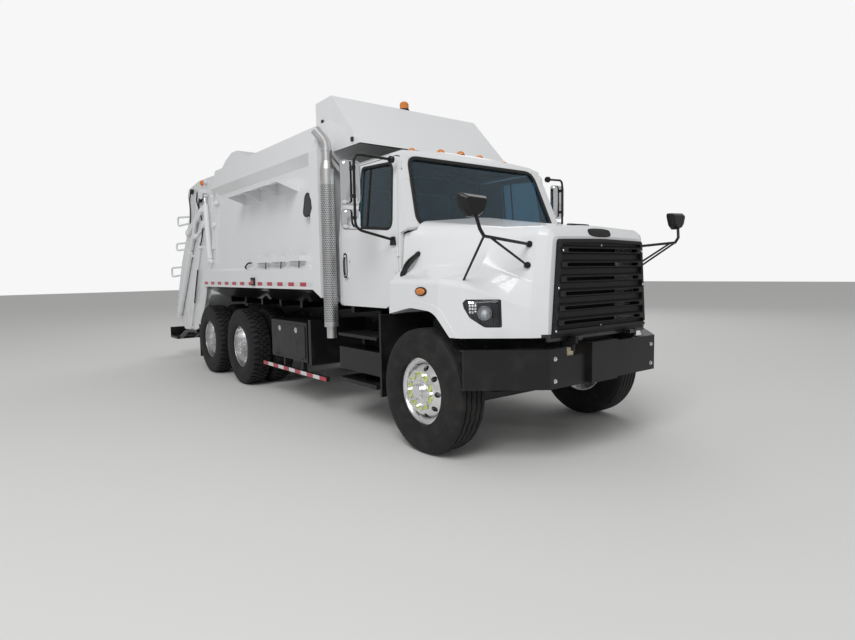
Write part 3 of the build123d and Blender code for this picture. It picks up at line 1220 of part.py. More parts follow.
# Exhaust stack: a guard round the pipe, and a tip that bends to the rear
GUARD_RADIUS = 75
GUARD_SHEET = 4
FEED_RADIUS = 38
GUARD_LOW = 980
GUARD_TOP = 2620
PIPE_RADIUS = 52
TIP_FOOT = 2830
TIP_BEND = 170
TIP_TURN = 40
TIP_LENGTH = 110
TIP_WALL = 4
EXHAUST = (-1605, -CAB_HALF - GUARD_RADIUS - 15)
with BuildPart() as exhaust_stack:
    guard = [
        (GUARD_RADIUS - GUARD_SHEET, GUARD_LOW),
        (GUARD_RADIUS, GUARD_LOW),
        (GUARD_RADIUS, GUARD_TOP),
        (PIPE_RADIUS + GUARD_SHEET, GUARD_TOP + 80),
        (PIPE_RADIUS - 2, GUARD_TOP + 80),
        (GUARD_RADIUS - GUARD_SHEET, GUARD_TOP),
    ]
    stack_plane = Plane(origin=at(*EXHAUST, 0), x_dir=(1, 0, 0), z_dir=(0, -1, 0))
    revolve(outline_on(stack_plane, guard), axis=Axis(tuple(at(*EXHAUST, 0)), (0, 0, 1)))
    bar(at(*EXHAUST, GUARD_LOW - 120), at(*EXHAUST, TIP_FOOT), PIPE_RADIUS)
    bar(at(*EXHAUST, TIP_FOOT - 30), at(*EXHAUST, TIP_FOOT - 6), PIPE_RADIUS + 5)
    outboard = Vector(-0.5, -0.866, 0)
    turn_axis = Axis(tuple(at(*EXHAUST, TIP_FOOT) + outboard * TIP_BEND), (0.866, -0.5, 0))
    with BuildSketch(Plane(origin=at(*EXHAUST, TIP_FOOT), x_dir=(1, 0, 0), z_dir=(0, 0, 1))) as tip_ring:
        Circle(PIPE_RADIUS)
        Circle(PIPE_RADIUS - TIP_WALL, mode=Mode.SUBTRACT)
    revolve(tip_ring.sketch, axis=turn_axis, revolution_arc=TIP_TURN)
    tip_run = outboard * sin(radians(TIP_TURN)) + Vector(0, 0, cos(radians(TIP_TURN)))
    tip_start = at(*EXHAUST, TIP_FOOT) + outboard * TIP_BEND * (1 - cos(radians(TIP_TURN)))
    tip_start += Vector(0, 0, TIP_BEND * sin(radians(TIP_TURN)))
    bar(tip_start, tip_start + tip_run * TIP_LENGTH, PIPE_RADIUS, bore=PIPE_RADIUS - TIP_WALL)
    feed_bend = at(EXHAUST[0] - 8, EXHAUST[1] + 120, 2660)
    bar(at(EXHAUST[0] - 4, EXHAUST[1] + 10, 2770), feed_bend, FEED_RADIUS)
    bar(feed_bend, at(EXHAUST[0] - 8, EXHAUST[1] + 230, 2560), FEED_RADIUS)
    for height in (1300, 2450):
        block(
            (BODY_FRONT + SEAT, EXHAUST[0] - GUARD_RADIUS + 20),
            (EXHAUST[1] - 30, EXHAUST[1] + 30),
            (height, height + 40),
        )
save(exhaust_stack, "exhaust_stack")

# Side equipment: boxes, steps, tank, guards and flaps
with BuildPart() as side_boxes:
    block((-3190, -2200), (-RAIL_OUTER_Y - SEAT, -1150), (520, 980))
    block((-2160, -2100), (-RAIL_OUTER_Y - SEAT, -1150), (500, 1020))
    block((-3000, -2200), (RAIL_OUTER_Y + SEAT, 1130), (520, 980))
save(side_boxes, "side_boxes")

with BuildPart() as fuel_tank:
    with BuildSketch(cross_view(-2080)) as tank:
        with Locations((LEFT * 790, 760)):
            RectangleRounded(700, 480, 120)
    extrude(tank.sketch, amount=560)
    block((-2060, -1560), (LEFT * (RAIL_OUTER_Y + SEAT), LEFT * 470), (640, 900))
save(fuel_tank, "fuel_tank")

with BuildPart() as cab_steps:
    for side in SIDES.values():
        block((-1460, -740), (side * 820, side * 1150), (900, 930))
        block((-1500, -720), (side * 860, side * 1120), (550, 780))
        block((-1460, -740), (side * 800, side * 1160), (430, 470))
        for station in (-1440, -760):
            block((station - 20, station + 20), (side * (RAIL_OUTER_Y + SEAT), side * 862), (430, 930))
        splash = [(-690, 370), (-660, 370), (-660, 1150), (-690, 1150)]
        side_prism(splash, side * 520, side * 1150)
        block((-762, -688), (side * 520, side * 860), (700, 930))
        block((-740, -660), (side * (RAIL_OUTER_Y + SEAT), side * 560), (840, 930))
save(cab_steps, "cab_steps")

with BuildPart() as side_guards:
    for side in SIDES.values():
        block((-3480, -1740), (side * 1120, side * 1160), (365, 415))
        for station in (-2900, -2400):
            block((station, station + 40), (side * 1080, side * 1130), (365, 520 - SEAT))
save(side_guards, "side_guards")

with BuildPart() as mudflaps:
    for side in SIDES.values():
        block((-6072, -6062), (side * 560, side * 1200), (200, 740))
        arm = [(-6078, 690), (-6078, 740), (-5850, 850), (-5850, 800)]
        side_prism(arm, side * (RAIL_OUTER_Y + SEAT), side * 470)
        block((-6078, -6060), (side * (RAIL_OUTER_Y + SEAT), side * 1200), (690, 740))
save(mudflaps, "mudflaps")

# Tailgate: side plates with a curved hopper floor, a rear hood above the opening and top beams
TAILGATE_SIDE = [
    (-5091, 2905),
    (-5581, 1793),
    (-5692, 1353),
    (-5790, 1190),
    (-6165, 680),
    (-6440, 615),
    (-7080, 590),
    (-7570, 905),
    (-7360, 1290),
    (-7070, 1790),
    (-6720, 2210),
    (-6500, 2560),
    (-6440, 2730),
    (-6550, 2870),
    (-6450, 2995),
    (-5890, 3060),
    (-5180, 3050),
]
TAILGATE_RADII = [0, 0, 0, 60, 120, 300, 120, 60, 0, 300, 200, 120, 60, 60, 70, 200, 30]
HOPPER_SHEET = 25
TROUGH = (-6754, 1433)
TROUGH_RADIUS = 775
SLIDE_LUG = -700
SLIDE_END = SLIDE_LUG + SLIDE_TRAVEL
BARREL_TOP = SLIDE_END + 60
BARREL_END = BARREL_TOP + SLIDE_TRAVEL + 620
DOWN = Vector(SLIDE_DIRECTION[0], 0, SLIDE_DIRECTION[1])
BACK = Vector(SLIDE_DIRECTION[1], 0, -SLIDE_DIRECTION[0])
PIVOT = at(SWEEP_PIVOT[0], 0, SWEEP_PIVOT[1])


def along_slide(down, back, y):
    """Point measured from the sweep pivot, down the slide and backwards from it."""
    return PIVOT + DOWN * down + BACK * back + Vector(0, y, 0)


def slide_prism(points, y_from, y_to, mode=Mode.ADD):
    """Prism whose outline is measured down the slide and backwards from the sweep pivot."""
    spots = [along_slide(down, back, 0) for down, back in points]
    side_prism([(spot.X - FRONT_AXLE_X, spot.Z) for spot in spots], y_from, y_to, mode)


with BuildPart() as tailgate:
    plate_outer = BODY_WALL_Y
    for side in SIDES.values():
        inner_face = side * (plate_outer - TAILGATE_PLATE)
        side_prism(TAILGATE_SIDE, side * plate_outer, inner_face, radii=TAILGATE_RADII)
    inner = plate_outer - TAILGATE_PLATE + 1
    trough = []
    for step in range(0, 13):
        angle = radians(-48 - step * 7)
        trough.append((TROUGH[0] + TROUGH_RADIUS * cos(angle), TROUGH[1] + TROUGH_RADIUS * sin(angle)))
    floor_path = [(-5745, 1225)] + trough + [(-7500, 905)]
    sheet_along(floor_path, HOPPER_SHEET, inner, -inner)
    sill = [(-7500, 870), (-7560, 905), (-7500, 960), (-7450, 925)]
    side_prism(sill, inner, -inner)
    hood_path = [(-6725, 2185), (-6475, 2555), (-6420, 2730), (-6520, 2865), (-6435, 2975), (-5890, 3038)]
    hood_path += [(-5205, 3028), (-5130, 2900)]
    sheet_along(hood_path, HOPPER_SHEET, inner, -inner)
    for side in SIDES.values():
        slot = [(SLIDE_LUG - 20, -32), (SLIDE_LUG - 20, 32), (SLIDE_END + 50, 32), (SLIDE_END + 50, -32)]
        slide_prism(slot, side * 1300, side * 1000, mode=Mode.SUBTRACT)
        arm = [
            (-5330, 3022),
            (-5330, 3044),
            (-5130, 3058),
            (-5020, 3068),
            (-4982, 3030),
            (-5020, 2992),
            (-5130, 2985),
            (-5200, 3000),
        ]
        side_prism(arm, side * 938, side * 1002)
        bar(
            at(TAILGATE_HINGE[0], side * 936, TAILGATE_HINGE[1]),
            at(TAILGATE_HINGE[0], side * 1004, TAILGATE_HINGE[1]),
            22 + PIN_CLEARANCE,
            mode=Mode.SUBTRACT,
        )
        stiffener = [(110, 62), (BARREL_END - 60, 62), (BARREL_END - 60, 132), (110, 132)]
        slide_prism(stiffener, side * (BODY_WALL_Y - 1), side * 1195)
        eye_x, eye_z = LIFT_EYE
        standoff = [(eye_x - 150, eye_z), (eye_x - 70, eye_z + 60), (eye_x - 70, eye_z + 110), (eye_x - 150, eye_z + 90)]
        side_prism(standoff, side * (BODY_WALL_Y - 1), side * 1258)
        cheek = [
            (eye_x - 150, eye_z),
            (eye_x - 30, eye_z - 45),
            (eye_x + 40, eye_z - 30),
            (eye_x + 40, eye_z + 35),
            (eye_x - 70, eye_z + 110),
            (eye_x - 150, eye_z + 90),
        ]
        side_prism(cheek, side * 1246, side * 1258)
save(tailgate, "tailgate")

def underside(x):
    """Height of the tailgate's lower edge at a station."""
    (front_x, front_z), (rear_x, rear_z) = TAILGATE_SIDE[5:7]
    return front_z + (x - front_x) * (rear_z - front_z) / (rear_x - front_x)


with BuildPart() as rear_step:
    for side in SIDES.values():
        block((STEP_REAR + 10, -7600), (side * 700, side * 1160), (360, 400))
        block((STEP_REAR, STEP_REAR + 30), (side * 700, side * 1160), (360, 560))
        hanger = [
            (-7640, 400),
            (-7600, 360),
            (-7200, 520),
            (-6500, 560),
            (-6500, underside(-6500) - SEAT),
            (-7040, underside(-7040) - SEAT),
            (-7200, 560),
        ]
        side_prism(hanger, side * 800, side * 860)
        side_prism(hanger, side * 1060, side * 1120)
save(rear_step, "rear_step")

REAR_SLOPE = (7570 - 7360) / (1290 - 905)
TAIL_LAMP_RADIUS = 26
with BuildPart() as tail_lamps:
    for side in SIDES.values():
        for height in (1150, 1010):
            x = -7360 - (1290 - height) * REAR_SLOPE - TAIL_LAMP_RADIUS * REAR_SLOPE - SEAT
            bar(at(x, side * 1120, height), at(x - 34, side * 1120, height), TAIL_LAMP_RADIUS)
save(tail_lamps, "tail_lamps")

# Packing cylinders outside the tailgate: barrels on the tailgate, rods on the carrier
with BuildPart() as slide_barrels:
    for side in SIDES.values():
        y = side * CYLINDER_Y
        bar(along_slide(BARREL_TOP, 0, y), along_slide(BARREL_END, 0, y), CYLINDER_RADIUS, bore=ROD_RADIUS + ROD_CLEARANCE)
        bar(along_slide(BARREL_END - 1, 0, y), along_slide(BARREL_END + 60, 0, y), CYLINDER_RADIUS)
        for down in (BARREL_TOP + 40, BARREL_END + 20):
            foot = [(down, -58), (down, 58), (down + 30, 58), (down + 30, -58)]
            slide_prism(foot, side * (BODY_WALL_Y + SEAT), y)
        gland = along_slide(BARREL_TOP + 30, 0, y), along_slide(BARREL_TOP + 80, 0, y)
        bar(*gland, ROD_RADIUS + ROD_CLEARANCE, mode=Mode.SUBTRACT)
save(slide_barrels, "slide_barrels")

# Carrier: the panel that slides down the tailgate, with the sweep blade hinged on its foot
SWEEP_TUBE = 55
SWEEP_SHAFT = 30
CARRIER_FOOT = -90
SWEEP_HALF = 1062
SHOES = (-900, -300)
SHOE_LENGTH = 110
CHEEKS = (-900, -300, 300, 900)
CHEEK_HALF = 20
SWEEP_LUG = (120, 200)
SWEEP_ANCHOR = (-850, 200)
SWEEP_CYLINDER_Y = 600
SWEEP_EAR = (530, 555)
SWEEP_EAR_OUT = (645, 670)
with BuildPart() as carrier:
    half = CARRIER_THICKNESS / 2
    panel = [(-CARRIER_LENGTH, -half), (-CARRIER_LENGTH, half), (CARRIER_FOOT, half), (CARRIER_FOOT, -half)]
    slide_prism(panel, PACKER_HALF, -PACKER_HALF)
    for side in SIDES.values():
        notch = [(-280, -80), (-280, 80), (-80, 80), (-80, -80)]
        slide_prism(notch, side * 515, side * 685, mode=Mode.SUBTRACT)
    for y in CHEEKS:
        cheek = [(CARRIER_FOOT - 60, -half), (CARRIER_FOOT - 60, half), (0, 42), (42, 0), (0, -42)]
        slide_prism(cheek, y - CHEEK_HALF, y + CHEEK_HALF)
    bar(along_slide(0, 0, -SWEEP_HALF + 2), along_slide(0, 0, SWEEP_HALF - 2), SWEEP_SHAFT)
    for side in SIDES.values():
        for top in SHOES:
            shoe = [(top, -half + 6), (top, half - 6), (top + SHOE_LENGTH, half - 6), (top + SHOE_LENGTH, -half + 6)]
            slide_prism(shoe, side * (PACKER_HALF - 1), side * (BODY_WALL_Y - TAILGATE_PLATE - SEAT))
        lug_block = [(SLIDE_LUG - 10, -26), (SLIDE_LUG - 10, 26), (SLIDE_LUG + 40, 26), (SLIDE_LUG + 40, -26)]
        slide_prism(lug_block, side * (PACKER_HALF - 1), side * (CYLINDER_Y + 20))
        y = side * CYLINDER_Y
        bar(along_slide(SLIDE_LUG + 10, 0, y), along_slide(BARREL_TOP + 100, 0, y), ROD_RADIUS)
        down, back = SWEEP_ANCHOR
        for inner_y, outer_y in (SWEEP_EAR, SWEEP_EAR_OUT):
            ear = [(down - 90, half - 1), (down - 35, back + 35), (down + 35, back + 35), (down + 90, half - 1)]
            slide_prism(ear, side * inner_y, side * outer_y)
        bar(along_slide(down, back, side * SWEEP_EAR[0]), along_slide(down, back, side * SWEEP_EAR_OUT[1]), LIFT_PIN_RADIUS)
save(carrier, "carrier")

# Sweep blade: tubes on the carrier's shaft, the blade plate with its edge, and the cylinder lugs
BLADE_AT_REST = Vector(0.666, 0, -0.746)
BLADE_THICK = 70
with BuildPart() as sweep_blade:
    edges = [-SWEEP_HALF] + [edge for y in CHEEKS for edge in (y - CHEEK_HALF - 5, y + CHEEK_HALF + 5)] + [SWEEP_HALF]
    for start, end in zip(edges[::2], edges[1::2]):
        bar(along_slide(0, 0, start), along_slide(0, 0, end), SWEEP_TUBE)
    flat = Vector(BLADE_AT_REST.Z, 0, -BLADE_AT_REST.X)
    corners = [(70, -BLADE_THICK / 2), (70, BLADE_THICK / 2), (620, BLADE_THICK / 2), (SWEEP_LENGTH, 12), (SWEEP_LENGTH, -8), (640, -BLADE_THICK / 2)]
    spots = [PIVOT + BLADE_AT_REST * out + flat * across for out, across in corners]
    side_prism([(spot.X - FRONT_AXLE_X, spot.Z) for spot in spots], SWEEP_HALF, -SWEEP_HALF)
    for start, end in zip(edges[::2], edges[1::2]):
        root = [(20, -35), (20, 35), (75, 35), (75, -35)]
        spots = [PIVOT + BLADE_AT_REST * out + flat * across for out, across in root]
        side_prism([(spot.X - FRONT_AXLE_X, spot.Z) for spot in spots], start, end)
    for side in SIDES.values():
        for inner_y, outer_y in (SWEEP_EAR, SWEEP_EAR_OUT):
            down, back = SWEEP_LUG
            lug = [(-30, 20), (down - 36, back + 10), (down, back + 38), (down + 34, back + 20), (down + 30, back - 30), (45, 0)]
            slide_prism(lug, side * inner_y, side * outer_y)
    bar(along_slide(0, 0, -SWEEP_HALF - 1), along_slide(0, 0, SWEEP_HALF + 1), SWEEP_SHAFT + PIN_CLEARANCE, mode=Mode.SUBTRACT)
save(sweep_blade, "sweep_blade")

# Sweep cylinders: barrels pinned high on the carrier, rods reaching down to the blade lugs
SWEEP_BARREL_RADIUS = 40
SWEEP_ROD_RADIUS = 20
SWEEP_BARREL_LENGTH = 500
EYE_RADIUS = 38
EYE_HALF = 28
with BuildPart() as sweep_barrels:
    for side in SIDES.values():
        down, back = SWEEP_ANCHOR
        y = side * SWEEP_CYLINDER_Y
        bar(along_slide(down, back, y - EYE_HALF), along_slide(down, back, y + EYE_HALF), EYE_RADIUS)
        bar(along_slide(down + 20, back, y), along_slide(down + 60, back, y), 30)
        bar(along_slide(down + 45, back, y), along_slide(down + 55, back, y), SWEEP_BARREL_RADIUS)
        bar(
            along_slide(down + 54, back, y),
            along_slide(down + SWEEP_BARREL_LENGTH, back, y),
            SWEEP_BARREL_RADIUS,
            bore=SWEEP_ROD_RADIUS + ROD_CLEARANCE,
        )
        pin_bore = LIFT_PIN_RADIUS + PIN_CLEARANCE
        bar(along_slide(down, back, y - 40), along_slide(down, back, y + 40), pin_bore, mode=Mode.SUBTRACT)
save(sweep_barrels, "sweep_barrels")

with BuildPart() as sweep_rods:
    for side in SIDES.values():
        y = side * SWEEP_CYLINDER_Y
        down, back = SWEEP_LUG
        start = SWEEP_ANCHOR[0] + SWEEP_BARREL_LENGTH - 60
        bar(along_slide(start, back, y), along_slide(down - 25, back, y), SWEEP_ROD_RADIUS)
        bar(along_slide(down, back, y - EYE_HALF), along_slide(down, back, y + EYE_HALF), 32)
        bar(along_slide(down, back, y - 40), along_slide(down, back, y + 40), LIFT_PIN_RADIUS, mode=Mode.SUBTRACT)
save(sweep_rods, "sweep_rods")

# Lift cylinders: barrels pinned low on the body wall, rods reaching up to the tailgate
LIFT_RADIUS = 40
LIFT_ROD_RADIUS = 24
LIFT_BARREL_LENGTH = 880
LIFT_BASE = at(LIFT_PIN[0], 0, LIFT_PIN[1])
LIFT_RUN = at(LIFT_EYE[0], 0, LIFT_EYE[1]) - LIFT_BASE
LIFT_LINE = LIFT_RUN.normalized()


def along_lift(distance, y):
    """Point up the lift cylinder's line from its lower pin."""
    return LIFT_BASE + LIFT_LINE * distance + Vector(0, y, 0)


with BuildPart() as lift_barrels:
    for side in SIDES.values():
        y = side * CYLINDER_Y
        bar(along_lift(0, y - EYE_HALF), along_lift(0, y + EYE_HALF), EYE_RADIUS)
        bar(along_lift(20, y), along_lift(60, y), 30)
        bar(along_lift(45, y), along_lift(55, y), LIFT_RADIUS)
        bar(along_lift(54, y), along_lift(LIFT_BARREL_LENGTH, y), LIFT_RADIUS, bore=LIFT_ROD_RADIUS + ROD_CLEARANCE)
        pin_bore = LIFT_PIN_RADIUS + PIN_CLEARANCE
        bar(along_lift(0, y - 40), along_lift(0, y + 40), pin_bore, mode=Mode.SUBTRACT)
save(lift_barrels, "lift_barrels")

with BuildPart() as lift_rods:
    for side in SIDES.values():
        y = side * CYLINDER_Y
        bar(along_lift(120, y), along_lift(LIFT_RUN.length - 25, y), LIFT_ROD_RADIUS)
        bar(along_lift(LIFT_RUN.length, y - EYE_HALF), along_lift(LIFT_RUN.length, y + EYE_HALF), 32)
        bar(along_lift(LIFT_RUN.length, y - 40), along_lift(LIFT_RUN.length, y + 40), LIFT_PIN_RADIUS, mode=Mode.SUBTRACT)
save(lift_rods, "lift_rods")
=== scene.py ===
# %% [markdown]
# # Dressing a garbage truck
# The solids of the truck come from its CAD model, in metres, with +X forward, +Y to the left and
# the ground at Z 0. This script gives each solid its paint, metal, rubber or glass, adds what is
# too fine for the solids, and sets up a plain studio around it.

import json
import math

import bmesh
import bpy
from mathutils import Matrix, Vector
from mathutils.bvhtree import BVHTree


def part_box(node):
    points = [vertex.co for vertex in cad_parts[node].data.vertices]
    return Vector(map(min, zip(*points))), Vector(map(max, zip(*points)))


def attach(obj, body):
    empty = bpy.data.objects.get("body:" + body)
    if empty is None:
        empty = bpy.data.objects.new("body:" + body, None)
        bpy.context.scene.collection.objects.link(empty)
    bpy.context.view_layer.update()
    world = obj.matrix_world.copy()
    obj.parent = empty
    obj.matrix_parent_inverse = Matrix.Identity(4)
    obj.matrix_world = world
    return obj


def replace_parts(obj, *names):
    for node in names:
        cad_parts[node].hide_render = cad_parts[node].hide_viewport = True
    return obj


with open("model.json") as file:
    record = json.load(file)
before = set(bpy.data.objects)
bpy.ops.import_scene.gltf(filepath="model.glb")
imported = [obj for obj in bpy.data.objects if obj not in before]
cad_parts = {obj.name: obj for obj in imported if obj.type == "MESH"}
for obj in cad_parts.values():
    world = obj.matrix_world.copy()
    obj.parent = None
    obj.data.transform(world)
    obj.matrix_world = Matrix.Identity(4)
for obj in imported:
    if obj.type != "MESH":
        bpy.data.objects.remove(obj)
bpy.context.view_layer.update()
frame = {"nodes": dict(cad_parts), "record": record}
nodes = frame["nodes"]
print("CAD nodes:", len(nodes))

# %% [markdown]
# ## Stations
# A few places come back in many steps: the axles, and the tyre's size. They are read from the model's own
# boxes, so that the pieces follow the model. Other places are given as a station, which is the distance
# ahead of the front axle, with a side and a height.

# %% Places read from the model
RIGHT, LEFT = -1, 1
SIDES = {"right": RIGHT, "left": LEFT}
X, Y, Z = Vector((1, 0, 0)), Vector((0, 1, 0)), Vector((0, 0, 1))


def middle(node):
    """Middle of a CAD node's box."""
    low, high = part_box(node)
    return (low + high) / 2


AXLE_Z = middle("tyre_front_right").z
FRONT_X = middle("tyre_front_right").x
REAR_X = {"r1": middle("tyres_r1_right").x, "r2": middle("tyres_r2_right").x}
TYRE_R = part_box("tyre_front_right")[1].z - AXLE_Z
TYRE_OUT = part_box("tyre_front_left")[1].y


def at(station, y, z):
    """Point from its station, its side and its height, in metres."""
    return Vector((FRONT_X + station, y, z))


def beside(y, places):
    """Points in an upright plane beside the truck, from their stations and heights."""
    return [at(station, y, z) for station, z in places]


def facing_ahead(station, places):
    """Points in a plane across the truck, from their sides and heights."""
    return [at(station, y, z) for y, z in places]


print("front axle at", round(FRONT_X, 4), "tyre radius", round(TYRE_R, 4))

# %% [markdown]
# ## Camera
# The photograph was taken from the front right corner at about eye height. Its place, angles and lens were
# worked out from the wheels and the level edges of the truck, so a render from here can be laid over it.

# %% Camera at the photograph's place
CAMERA_STATION, CAMERA_Y, CAMERA_Z = 3.8644, -4.1207, 1.5407
CAMERA_YAW, CAMERA_PITCH, CAMERA_ROLL = (math.radians(a) for a in (142.07, -4.73, -0.94))
FOCAL_PIXELS = 580.2
PHOTO_WIDTH, PHOTO_HEIGHT = 855, 640
SENSOR_WIDTH = 36.0

gaze = Vector((
    math.cos(CAMERA_PITCH) * math.cos(CAMERA_YAW),
    math.cos(CAMERA_PITCH) * math.sin(CAMERA_YAW),
    math.sin(CAMERA_PITCH),
))
level_right = gaze.cross(Z).normalized()
level_up = level_right.cross(gaze)
tilt_right = level_right * math.cos(CAMERA_ROLL) + level_up * math.sin(CAMERA_ROLL)
tilt_up = level_up * math.cos(CAMERA_ROLL) - level_right * math.sin(CAMERA_ROLL)
camera_data = bpy.data.cameras.new("photo_camera")
camera_data.sensor_width = SENSOR_WIDTH
camera_data.lens = FOCAL_PIXELS / PHOTO_WIDTH * SENSOR_WIDTH
camera = bpy.data.objects.new("photo_camera", camera_data)
bpy.context.scene.collection.objects.link(camera)
camera_turn = Matrix((tilt_right, tilt_up, -gaze)).transposed().to_4x4()
camera.matrix_world = Matrix.Translation(at(CAMERA_STATION, CAMERA_Y, CAMERA_Z)) @ camera_turn
bpy.context.scene.camera = camera
bpy.context.scene.view_settings.view_transform = "Standard"
print("lens", round(camera_data.lens, 2), "mm")

# %% [markdown]
# ## Sight lines
# Small fittings were found in the photograph by their pixels. A pixel gives a line from the camera, and
# the fitting sits where that line first meets a panel. Placing them by eye would be the other way, but a
# panel that is curved hides a few centimetres of error. The same search drops a bolt on a skin.

# %% From a pixel or a line to a place on the truck
SKINS = {}


def sight(u, v):
    """Direction from the camera through a pixel of the photograph."""
    aside, upward = u - PHOTO_WIDTH / 2, PHOTO_HEIGHT / 2 - v
    return (gaze * FOCAL_PIXELS + tilt_right * aside + tilt_up * upward).normalized()


def skin(node):
    """Search tree over the faces of a CAD node, which is made once."""
    if node not in SKINS:
        mesh = nodes[node].data
        corners = [vertex.co.copy() for vertex in mesh.vertices]
        SKINS[node] = BVHTree.FromPolygons(corners, [list(face.vertices) for face in mesh.polygons])
    return SKINS[node]


def touch(node, start, direction):
    """Where a straight line first meets a CAD node, and which way its skin faces there."""
    spot, facing, _, _ = skin(node).ray_cast(start, direction.normalized())
    if spot is None:
        raise ValueError(f"the line from {start} misses {node}")
    return spot, facing if facing.dot(direction) < 0 else -facing


def seen(node, u, v):
    """The place on a CAD node that a pixel of the photograph shows."""
    return touch(node, camera.matrix_world.translation, sight(u, v))


print("pixel 597, 232 shows the hood at", seen("hood", 597, 232)[0])

# %% [markdown]
# ## Shader maths
# A finish is a network of nodes, and sums written as nodes are hard to read. This class wraps one output
# of the network, so that an expression such as 1 - mask adds its own Math node, and its node method
# makes any other kind.

# %% Signals
class Signal:
    """One output in the node tree of the finish that is being made."""

    tree = None

    def __init__(self, socket):
        self.socket = socket

    @classmethod
    def node(cls, kind, settings=None, sockets=None, output=0):
        """Adds a node, first its settings and then its sockets, and returns one of its outputs."""
        made = cls.tree.nodes.new("ShaderNode" + kind)
        for name, value in (settings or {}).items():
            setattr(made, name, value)
        for name, value in (sockets or {}).items():
            if isinstance(value, cls):
                cls.tree.links.new(value.socket, made.inputs[name])
            else:
                made.inputs[name].default_value = value
        return cls(made.outputs[output])

    def maths(self, operation, other=0.0, flipped=False):
        """Math node on this signal and another one or a number."""
        pair = (other, self) if flipped else (self, other)
        return self.node("Math", {"operation": operation}, {0: pair[0], 1: pair[1]})

    def __add__(self, other):
        return self.maths("ADD", other)

    __radd__ = __add__

    def __sub__(self, other):
        return self.maths("SUBTRACT", other)

    def __rsub__(self, other):
        return self.maths("SUBTRACT", other, flipped=True)

    def __mul__(self, other):
        return self.maths("MULTIPLY", other)

    __rmul__ = __mul__

    def __truediv__(self, other):
        return self.maths("DIVIDE", other)

    def __rtruediv__(self, other):
        return self.maths("DIVIDE", other, flipped=True)

    def __gt__(self, other):
        return self.maths("GREATER_THAN", other)

    def __lt__(self, other):
        return self.maths("LESS_THAN", other)


print("signal tools:", [name for name in vars(Signal) if name[0] != "_"])

# %% [markdown]
# ## Signals that every finish uses
# Noise, masks and colours are read from the place on the truck in metres, not from an unwrapped picture.
# The marks then have their real size on every piece, and move with it when a door or the hood opens.

# %% Places, noise, masks, colours and relief
def place():
    """Place on the surface in the truck's own frame, which moves with the piece."""
    return Signal.node("TexCoord", output="Object")


def along(axis):
    """One coordinate of the place, in metres."""
    return Signal.node("SeparateXYZ", sockets={0: place()}, output=axis)


def noise(scale, detail=2.0):
    """Soft noise from 0 to 1, with so many lumps a metre."""
    return Signal.node("TexNoise", sockets={"Vector": place(), "Scale": scale, "Detail": detail})


def ribs(axis, scale):
    """Waves from 0 to 1 along an axis."""
    return Signal.node("TexWave", {"bands_direction": axis}, {"Vector": place(), "Scale": scale})


def ramp(value, low, high):
    """Rises smoothly from 0 at low to 1 at high. Where high is the smaller one, it rises downwards."""
    limits = {"Value": value, "From Min": low, "From Max": high}
    return Signal.node("MapRange", {"interpolation_type": "SMOOTHSTEP"}, limits)


def tint(red, green, blue):
    """Colour as the shader wants it, with its fourth number."""
    return (red, green, blue, 1.0)


def mixed(mask, first, second):
    """The first colour where the mask is 0, and the second where it is 1."""
    return Signal.node("Mix", {"data_type": "RGBA"}, {0: mask, 6: first, 7: second}, output=2)


def bump(height, distance):
    """Surface relief of so many metres, from a signal between 0 and 1."""
    return Signal.node("Bump", sockets={"Height": height, "Distance": distance, "Strength": 1.0})


FINISHES = {}


def finish(name, recipe):
    """New material from a recipe, which returns what goes into the shader's sockets."""
    material = bpy.data.materials.new(name)
    material.use_nodes = True
    Signal.tree = material.node_tree
    shader = material.node_tree.nodes["Principled BSDF"]
    for socket, value in recipe().items():
        if isinstance(value, Signal):
            Signal.tree.links.new(value.socket, shader.inputs[socket])
        else:
            shader.inputs[socket].default_value = value
    FINISHES[name] = material
    print("finish", name, "with", len(Signal.tree.nodes), "nodes")
    return material


# %% [markdown]
# ## Paint
# The truck is freshly painted. Sheet metal is never quite flat, so the white paint has slow waves that
# bend its reflections, and a fine peel. Road film darkens it a little low down. The black paint of the
# chassis is duller, and dust shows on it more. One flat colour would look like plastic.

# %% White and black paint
WHITE_FILM_TOP, WHITE_FILM_FULL = 1.3, 0.6
BLACK_FILM_TOP, BLACK_FILM_FULL = 1.5, 0.3


def white_paint():
    film = ramp(along("Z"), WHITE_FILM_TOP, WHITE_FILM_FULL) * ramp(noise(5, 4), 0.35, 0.8)
    clean = mixed(noise(0.8), tint(0.77, 0.785, 0.80), tint(0.80, 0.81, 0.82))
    waves = noise(1.7) * 0.8 + noise(240) * 0.2
    return {
        "Base Color": mixed(film * 0.35, clean, tint(0.42, 0.38, 0.32)),
        "Roughness": 0.26 + noise(30, 3) * 0.1,
        "Coat Weight": 0.6,
        "Coat Roughness": 0.08,
        "Normal": bump(waves, 0.0022),
    }


def black_paint():
    film = ramp(noise(6, 5), 0.45, 0.8) * ramp(along("Z"), BLACK_FILM_TOP, BLACK_FILM_FULL)
    return {
        "Base Color": mixed(film * 0.5, tint(0.008, 0.008, 0.009), tint(0.050, 0.045, 0.040)),
        "Roughness": 0.34 + film * 0.35,
        "Specular IOR Level": 0.3,
        "Coat Weight": 0.1,
        "Coat Roughness": 0.2,
        "Normal": bump(noise(3) * 0.7 + noise(300) * 0.3, 0.0012),
    }


for paint in (white_paint, black_paint):
    finish(paint.__name__, paint)

# %% [markdown]
# ## Black lip, and painted shade underneath
# Three solids are white with a black part. The hood's lip under the grille is black. The underside of the
# load body and the faces of the shield over the cab that look down are turned black as painted shade, for the
# dark under them. The solids could be cut there. A mask from the place and from the way a face looks is
# simpler, and keeps a crisp edge.

# %% White paint that turns black where a mask is 1
GRILLE_FOOT_X, GRILLE_FOOT_Z = FRONT_X + 0.90, 1.045
BODY_FRONT_X, BODY_SILL_Z = FRONT_X - 1.86, 1.3685


